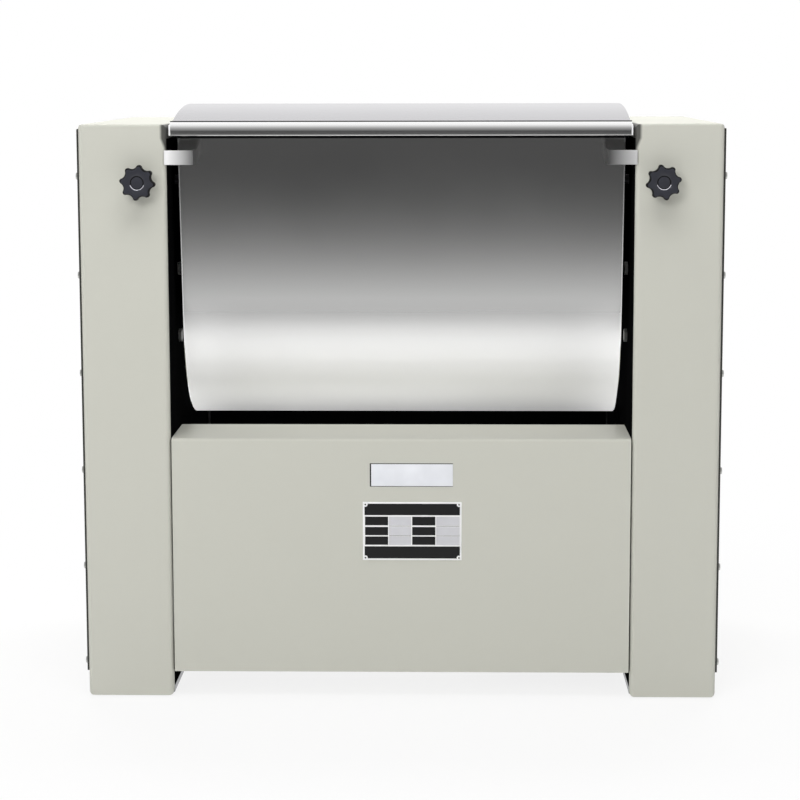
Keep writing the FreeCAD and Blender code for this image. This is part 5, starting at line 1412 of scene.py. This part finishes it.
@dataclass
class Drive:
    """Motor, belt, pulleys and countershaft in the right tower."""

    def build(self) -> None:
        """Dress the drive."""
        dress(Finish.TURNED_STEEL, "countershaft", "pinion", "motor_shaft")
        dress(Finish.CASTING_PAINT, "countershaft_housing")
        dress(Finish.PULLEY_IRON, "large_pulley", "motor_pulley")
        dress(Finish.RUBBER, "drive_belt")
        dress(Finish.MOTOR_PAINT, "motor_frame", "motor_fan_cover", "motor_terminal_box")
        dress(Finish.PLATE_STEEL, "motor_plate")


@dataclass
class StarKnobs:
    """The lobed lock knobs on the towers' fronts.

    circles and neck_circles hold radius and depth, rings hold inset from the star and depth.
    """

    outs: Span = (-0.3235, 0.3235)
    turns: Span = (math.radians(83), math.radians(100.6))
    height: float = 0.6573
    front: float = -0.265
    radius: float = 0.022
    lobes: int = 8
    tip: float = 0.0034
    hollow: float = 0.0078
    hollow_centre: float = 0.0256
    steps_per_lobe: int = 24
    thickness: float = 0.014
    edge_depth: float = 0.0003
    recess_depth: float = 0.0008
    glint_ring: Span = (0.0083, 0.009)
    glint_share: float = 0.3
    glint_depth: float = 0.0012
    circles: tuple[Span, ...] = (
        (0.0015, 0.0003),
        (0.0055, 0.0005),
        (0.0072, 0.0009),
        (0.0083, 0.0012),
        (0.0086, 0.0004),
        (0.0091, 0.0),
    )
    rings: tuple[Span, ...] = (
        (0.0032, 0.0001),
        (0.0019, 0.0002),
        (0.0013, 0.0005),
        (0.0005, 0.0014),
        (0.0, 0.003),
        (0.0, 0.0115),
        (0.0007, 0.0134),
        (0.0024, 0.014),
    )
    neck_circles: tuple[Span, ...] = (
        (0.0138, 0.0),
        (0.0116, 0.002),
        (0.0108, 0.007),
        (0.0104, 0.0155),
        (0.0098, 0.0157),
    )

    def build(self) -> None:
        """Make both knobs and dress their shafts, bushes and brackets."""
        for side, out, turn in zip(("left", "right"), self.outs, self.turns):
            self.knob(side, out, turn)
            dress(Finish.TURNED_STEEL, f"{side}_lock_shaft")
        dress(Finish.TURNED_STEEL, "lock_bushes")
        dress(Finish.PLATE_STEEL, "lock_brackets")

    def _reach(self, angle: float) -> float:
        """Radius of the star, whose tips and hollows are arcs.

        Args:
            angle: Angle from the middle of a lobe.

        Returns:
            The radius.
        """
        pitch = 2 * math.pi / self.lobes
        off = abs((angle + pitch / 2) % pitch - pitch / 2)
        centre = self.radius - self.tip
        inside = self.tip ** 2 - (centre * math.sin(off)) ** 2
        on_tip = centre * math.cos(off) + math.sqrt(inside) if inside > 0 else 0.0
        away = pitch / 2 - off
        room = self.hollow ** 2 - (self.hollow_centre * math.sin(away)) ** 2
        if room <= 0:
            return on_tip
        on_hollow = self.hollow_centre * math.cos(away) - math.sqrt(room)
        tangent = math.atan2(
            self.tip * self.hollow_centre * math.sin(pitch / 2),
            centre * (self.tip + self.hollow)
            + self.tip * (self.hollow_centre * math.cos(pitch / 2) - centre),
        )
        return on_tip if off < tangent else on_hollow

    def _finish_at(self, spot: Vector) -> int:
        """Choose the finish at a spot of the knob's skin.

        Args:
            spot: The spot, seen from the middle of the knob's front.

        Returns:
            Number of the finish: plastic, painted shade on its edge and in the recess, or a painted
                glint on the cap's lower rim.
        """
        plastic, dark, glint = range(3)
        out = math.hypot(spot.x, spot.z)
        first, last = self.glint_ring
        # The glint ring is a painted highlight; faces deeper than the recess or the edge get painted
        # shade
        if first < out < last and spot.z < -out * self.glint_share and spot.y < self.glint_depth:
            return glint
        deep = self.recess_depth if out < last else self.edge_depth
        return dark if spot.y > deep else plastic

    def _loop(
        self, work: Workpiece, depth: float, reach: Callable[[float], float], turn: float
    ) -> list[bmesh.types.BMEdge]:
        """One closed loop of the knob's skin.

        Args:
            work: The knob in the making.
            depth: How far behind the knob's front it lies.
            reach: Radius for an angle from the first lobe.
            turn: Angle of the first lobe.

        Returns:
            The loop's edges.
        """
        count = self.lobes * self.steps_per_lobe
        made = bmesh.ops.create_circle(work.shape, cap_ends=False, segments=count, radius=1.0)
        for number, vert in enumerate(made["verts"]):
            angle = 2 * math.pi * number / count
            size = reach(angle)
            vert.co = (size * math.cos(angle + turn), depth, size * math.sin(angle + turn))
        return list({edge for vert in made["verts"] for edge in vert.link_edges})

    def knob(self, side: str, out: float, turn: float) -> None:
        """One knob: lobed body with a recessed cap, and its neck.

        Args:
            side: Left or right.
            out: Its centre across the machine.
            turn: Angle of its first lobe.
        """
        def circle(size: float) -> Callable[[float], float]:
            """The same radius at every angle."""
            return lambda angle: size

        def star(inset: float) -> Callable[[float], float]:
            """The star, smaller by an inset at its tips."""
            return lambda angle: self._reach(angle) * (1 - inset / self.radius)

        outlines = [(circle(size), depth) for size, depth in self.circles]
        outlines += [(star(inset), depth) for inset, depth in self.rings]
        outlines += [(circle(size), self.thickness + depth) for size, depth in self.neck_circles]
        work = Workpiece()
        loops = [self._loop(work, depth, reach, turn) for reach, depth in outlines]
        for first, second in zip(loops, loops[1:]):
            bmesh.ops.bridge_loops(work.shape, edges=first + second)
        work.close()
        for face in work.shape.faces:
            face.material_index = self._finish_at(face.calc_center_median())
        bmesh.ops.translate(
            work.shape, vec=(out, self.front, self.height), verts=work.shape.verts
        )
        work.piece(
            f"{side}_lobed_knob",
            f"{side}_lock",
            [Finish.KNOB_PLASTIC, Finish.KNOB_EDGE, Finish.KNOB_GLINT],
            [f"{side}_star_knob"],
            smooth=40,
        )


@dataclass
class Controls:
    """Rotary switch and cable gland on the back of the right tower."""

    out: float = 0.345
    height: float = 0.6
    back: float = 0.265
    pointer: Span = (0.0016, 0.012)
    pointer_lift: float = 0.004
    pointer_ink: float = 0.0002

    def build(self) -> None:
        """Dress the switch and gland and mark the dial's pointer."""
        refit("switch_dial", "switch", Finish.KNOB_PLASTIC, "black_plastic", 0.0015)
        refit("switch_plate", "machine_frame", Finish.BOX_PLASTIC, "grey_plastic", 0.0008)
        refit("cable_gland", "machine_frame", Finish.KNOB_PLASTIC, "black_plastic", 0.0004)
        work = Workpiece()
        wide, tall = self.pointer
        foot = self.height + self.pointer_lift
        work.block(
            (self.out - wide / 2, self.back - self.pointer_ink, foot),
            (self.out + wide / 2, self.back, foot + tall),
        )
        work.piece("switch_pointer", "switch", [Finish.POINTER_INK])


# Studio


@dataclass
class PhotoCamera:
    """Camera with the photograph's viewing angle."""

    at: Point = (0.0625, -3.1077, 0.7908)
    turned_left: float = math.radians(1.265)
    down: float = math.radians(8.053)
    roll: float = -0.0018
    focal_pixels: float = 2311.8
    frame_pixels: float = 800.0
    sensor: float = 36.0
    clip: Span = (0.05, 60.0)

    def build(self) -> None:
        """Make the camera and give it to the scene."""
        data = bpy.data.cameras.new("photo_camera")
        data.sensor_width = self.sensor
        data.lens = self.focal_pixels * self.sensor / self.frame_pixels
        data.clip_start, data.clip_end = self.clip
        camera = bpy.data.objects.new("photo_camera", data)
        bpy.context.scene.collection.objects.link(camera)
        camera.matrix_world = (
            Matrix.Translation(self.at)
            @ Matrix.Rotation(self.turned_left, 4, "Z")
            @ Matrix.Rotation(math.radians(90) - self.down, 4, "X")
            @ Matrix.Rotation(self.roll, 4, "Z")
        )
        bpy.context.scene.camera = camera
        LOG.info("camera at %s", self.at)


@dataclass
class Studio:
    """Pale floor, soft lamps and a world that the steel reflects.

    glow holds how bright the reflected floor is at a distance before or behind the machine, sky
    how bright the reflected world is from the nadir at 0 to the zenith at 1, and shade the
    floor's least whiteness, where it starts to rise and how fast.
    """

    floor_size: float = 14.0
    floor_colour: Colour = (0.9, 0.9, 0.9)
    floor_roughness: float = 0.9
    shade: tuple[float, float, float] = (0.84, 0.6, 0.25)
    glow_reach: float = 7.0
    glow: tuple[Span, ...] = (
        (0.0, 1.0),
        (0.7, 1.0),
        (0.95, 0.9),
        (1.33, 0.66),
        (1.45, 0.5),
        (1.55, 0.33),
        (1.68, 0.19),
        (1.84, 0.102),
        (2.0, 0.056),
        (2.2, 0.048),
        (2.5, 0.08),
        (7.0, 0.14),
    )
    ambient: float = 0.15
    front_dimming: float = 0.85
    sky: tuple[Span, ...] = (
        (0.0, 0.12),
        (0.44, 0.5),
        (0.48, 0.9),
        (0.58, 1.0),
        (0.68, 0.72),
        (0.85, 0.62),
    )
    lamps: tuple[tuple[str, Point, Point, float, float, float], ...] = (
        ("front_softbox", (-0.9, -3.15, 1.7), (0, 0, 0.45), 1.4, 0.9, 36.5),
        ("top_softbox", (0.0, -1.5, 2.9), (0, 0, 0.4), 2.4, 1.4, 40.0),
        ("rear_softbox", (0.0, 1.1, 2.6), (0, 0, 0.7), 2.4, 1.2, 62.0),
        ("left_fill", (-3.0, -0.6, 1.5), (0, 0, 0.4), 1.6, 2.0, 11.0),
        ("right_fill", (3.0, -0.6, 1.5), (0, 0, 0.4), 1.6, 2.0, 7.5),
    )

    def build(self) -> None:
        """Make the floor, the world and the lamps."""
        self.floor()
        self.world()
        for lamp in self.lamps:
            self.lamp(*lamp)
        bpy.context.scene.view_settings.view_transform = "Standard"

    def floor(self) -> None:
        """A plain pale floor that keeps the shadow."""
        work = Workpiece()
        bmesh.ops.create_grid(
            work.shape, x_segments=1, y_segments=1, size=self.floor_size / 2
        )
        mesh = bpy.data.meshes.new("studio_floor")
        work.shape.to_mesh(mesh)
        work.shape.free()
        floor = bpy.data.objects.new("studio_floor", mesh)
        bpy.context.scene.collection.objects.link(floor)
        mesh.materials.append(self._floor_material())

    def _floor_material(self) -> bpy.types.Material:
        """White to the camera with a soft shadow, and a lit patch for reflections.

        Returns:
            The floor's material.
        """
        paint = Paint("studio_floor")
        paint.set(Base_Color=self.floor_colour, Roughness=self.floor_roughness)
        from_camera, glossy = paint.rays()
        where = paint.coordinates()
        levels = [(reach / self.glow_reach, level) for reach, level in self.glow]
        patch = paint.graded(abs(paint.split(where)[1]) / self.glow_reach, levels)
        away = paint.wire("ShaderNodeVectorMath", "Value", {"operation": "LENGTH"}, {0: where})
        near, begin, rise = self.shade
        white_share = ((away - begin) * rise + near).clamped(near, 1.0)
        matt = Wire(paint, paint.shader.outputs["BSDF"])
        white, lit = (
            paint.wire("ShaderNodeEmission", "Emission", {}, {"Color": colour, "Strength": 1.0})
            for colour in (WHITE, patch)
        )
        paint.finish_with(
            paint.either(glossy, paint.either(from_camera * white_share, matt, white), lit)
        )
        return paint.material

    def world(self) -> None:
        """White to the camera, soft to the paint, and graded by height for the steel."""
        world = bpy.data.worlds.new("studio_world")
        bpy.context.scene.world = world
        world.use_nodes = True
        nodes = Nodes(world.node_tree)
        from_camera, glossy = nodes.rays()
        _, back, up = nodes.split(nodes.coordinates("Generated"))
        ahead = nodes.maths("MINIMUM", back, 0.0)
        reflected = (
            nodes.graded(up * 0.5 + 0.5, self.sky),
            ahead * ahead * -self.front_dimming + 1.0,
        )
        soft, mirror, white = (
            nodes.wire("ShaderNodeBackground", 0, {}, {"Color": colour, "Strength": strength})
            for colour, strength in ((WHITE, self.ambient), reflected, (WHITE, 1.0))
        )
        shown = nodes.either(from_camera, nodes.either(glossy, soft, mirror), white)
        nodes.node("ShaderNodeOutputWorld", {}, {"Surface": shown})

    def lamp(
        self, name: str, at: Point, towards: Point, wide: float, tall: float, power: float
    ) -> None:
        """One rectangular soft lamp.

        Args:
            name: Its name.
            at: Where it hangs.
            towards: The point that it faces.
            wide: Width.
            tall: Height.
            power: Watts.
        """
        data = bpy.data.lights.new(name, "AREA")
        data.shape = "RECTANGLE"
        data.size = wide
        data.size_y = tall
        data.energy = power
        lamp = bpy.data.objects.new(name, data)
        bpy.context.scene.collection.objects.link(lamp)
        aim = (Vector(towards) - Vector(at)).to_track_quat("-Z", "Y")
        lamp.matrix_world = Matrix.Translation(at) @ aim.to_matrix().to_4x4()
        lamp.visible_glossy = False


def main() -> None:
    """Build every part of the scene in order."""
    logging.basicConfig(level=logging.INFO, format="%(name)s: %(message)s")
    for assembly in (
        PhotoCamera(),
        Studio(),
        Towers(),
        LowerBody(),
        Bin(),
        Lid(),
        MixingRotor(),
        Drive(),
        StarKnobs(),
        Controls(),
    ):
        assembly.build()
        LOG.info("finished %s", type(assembly).__name__)
    bpy.context.view_layer.update()


if __name__ == "__main__":
    main()
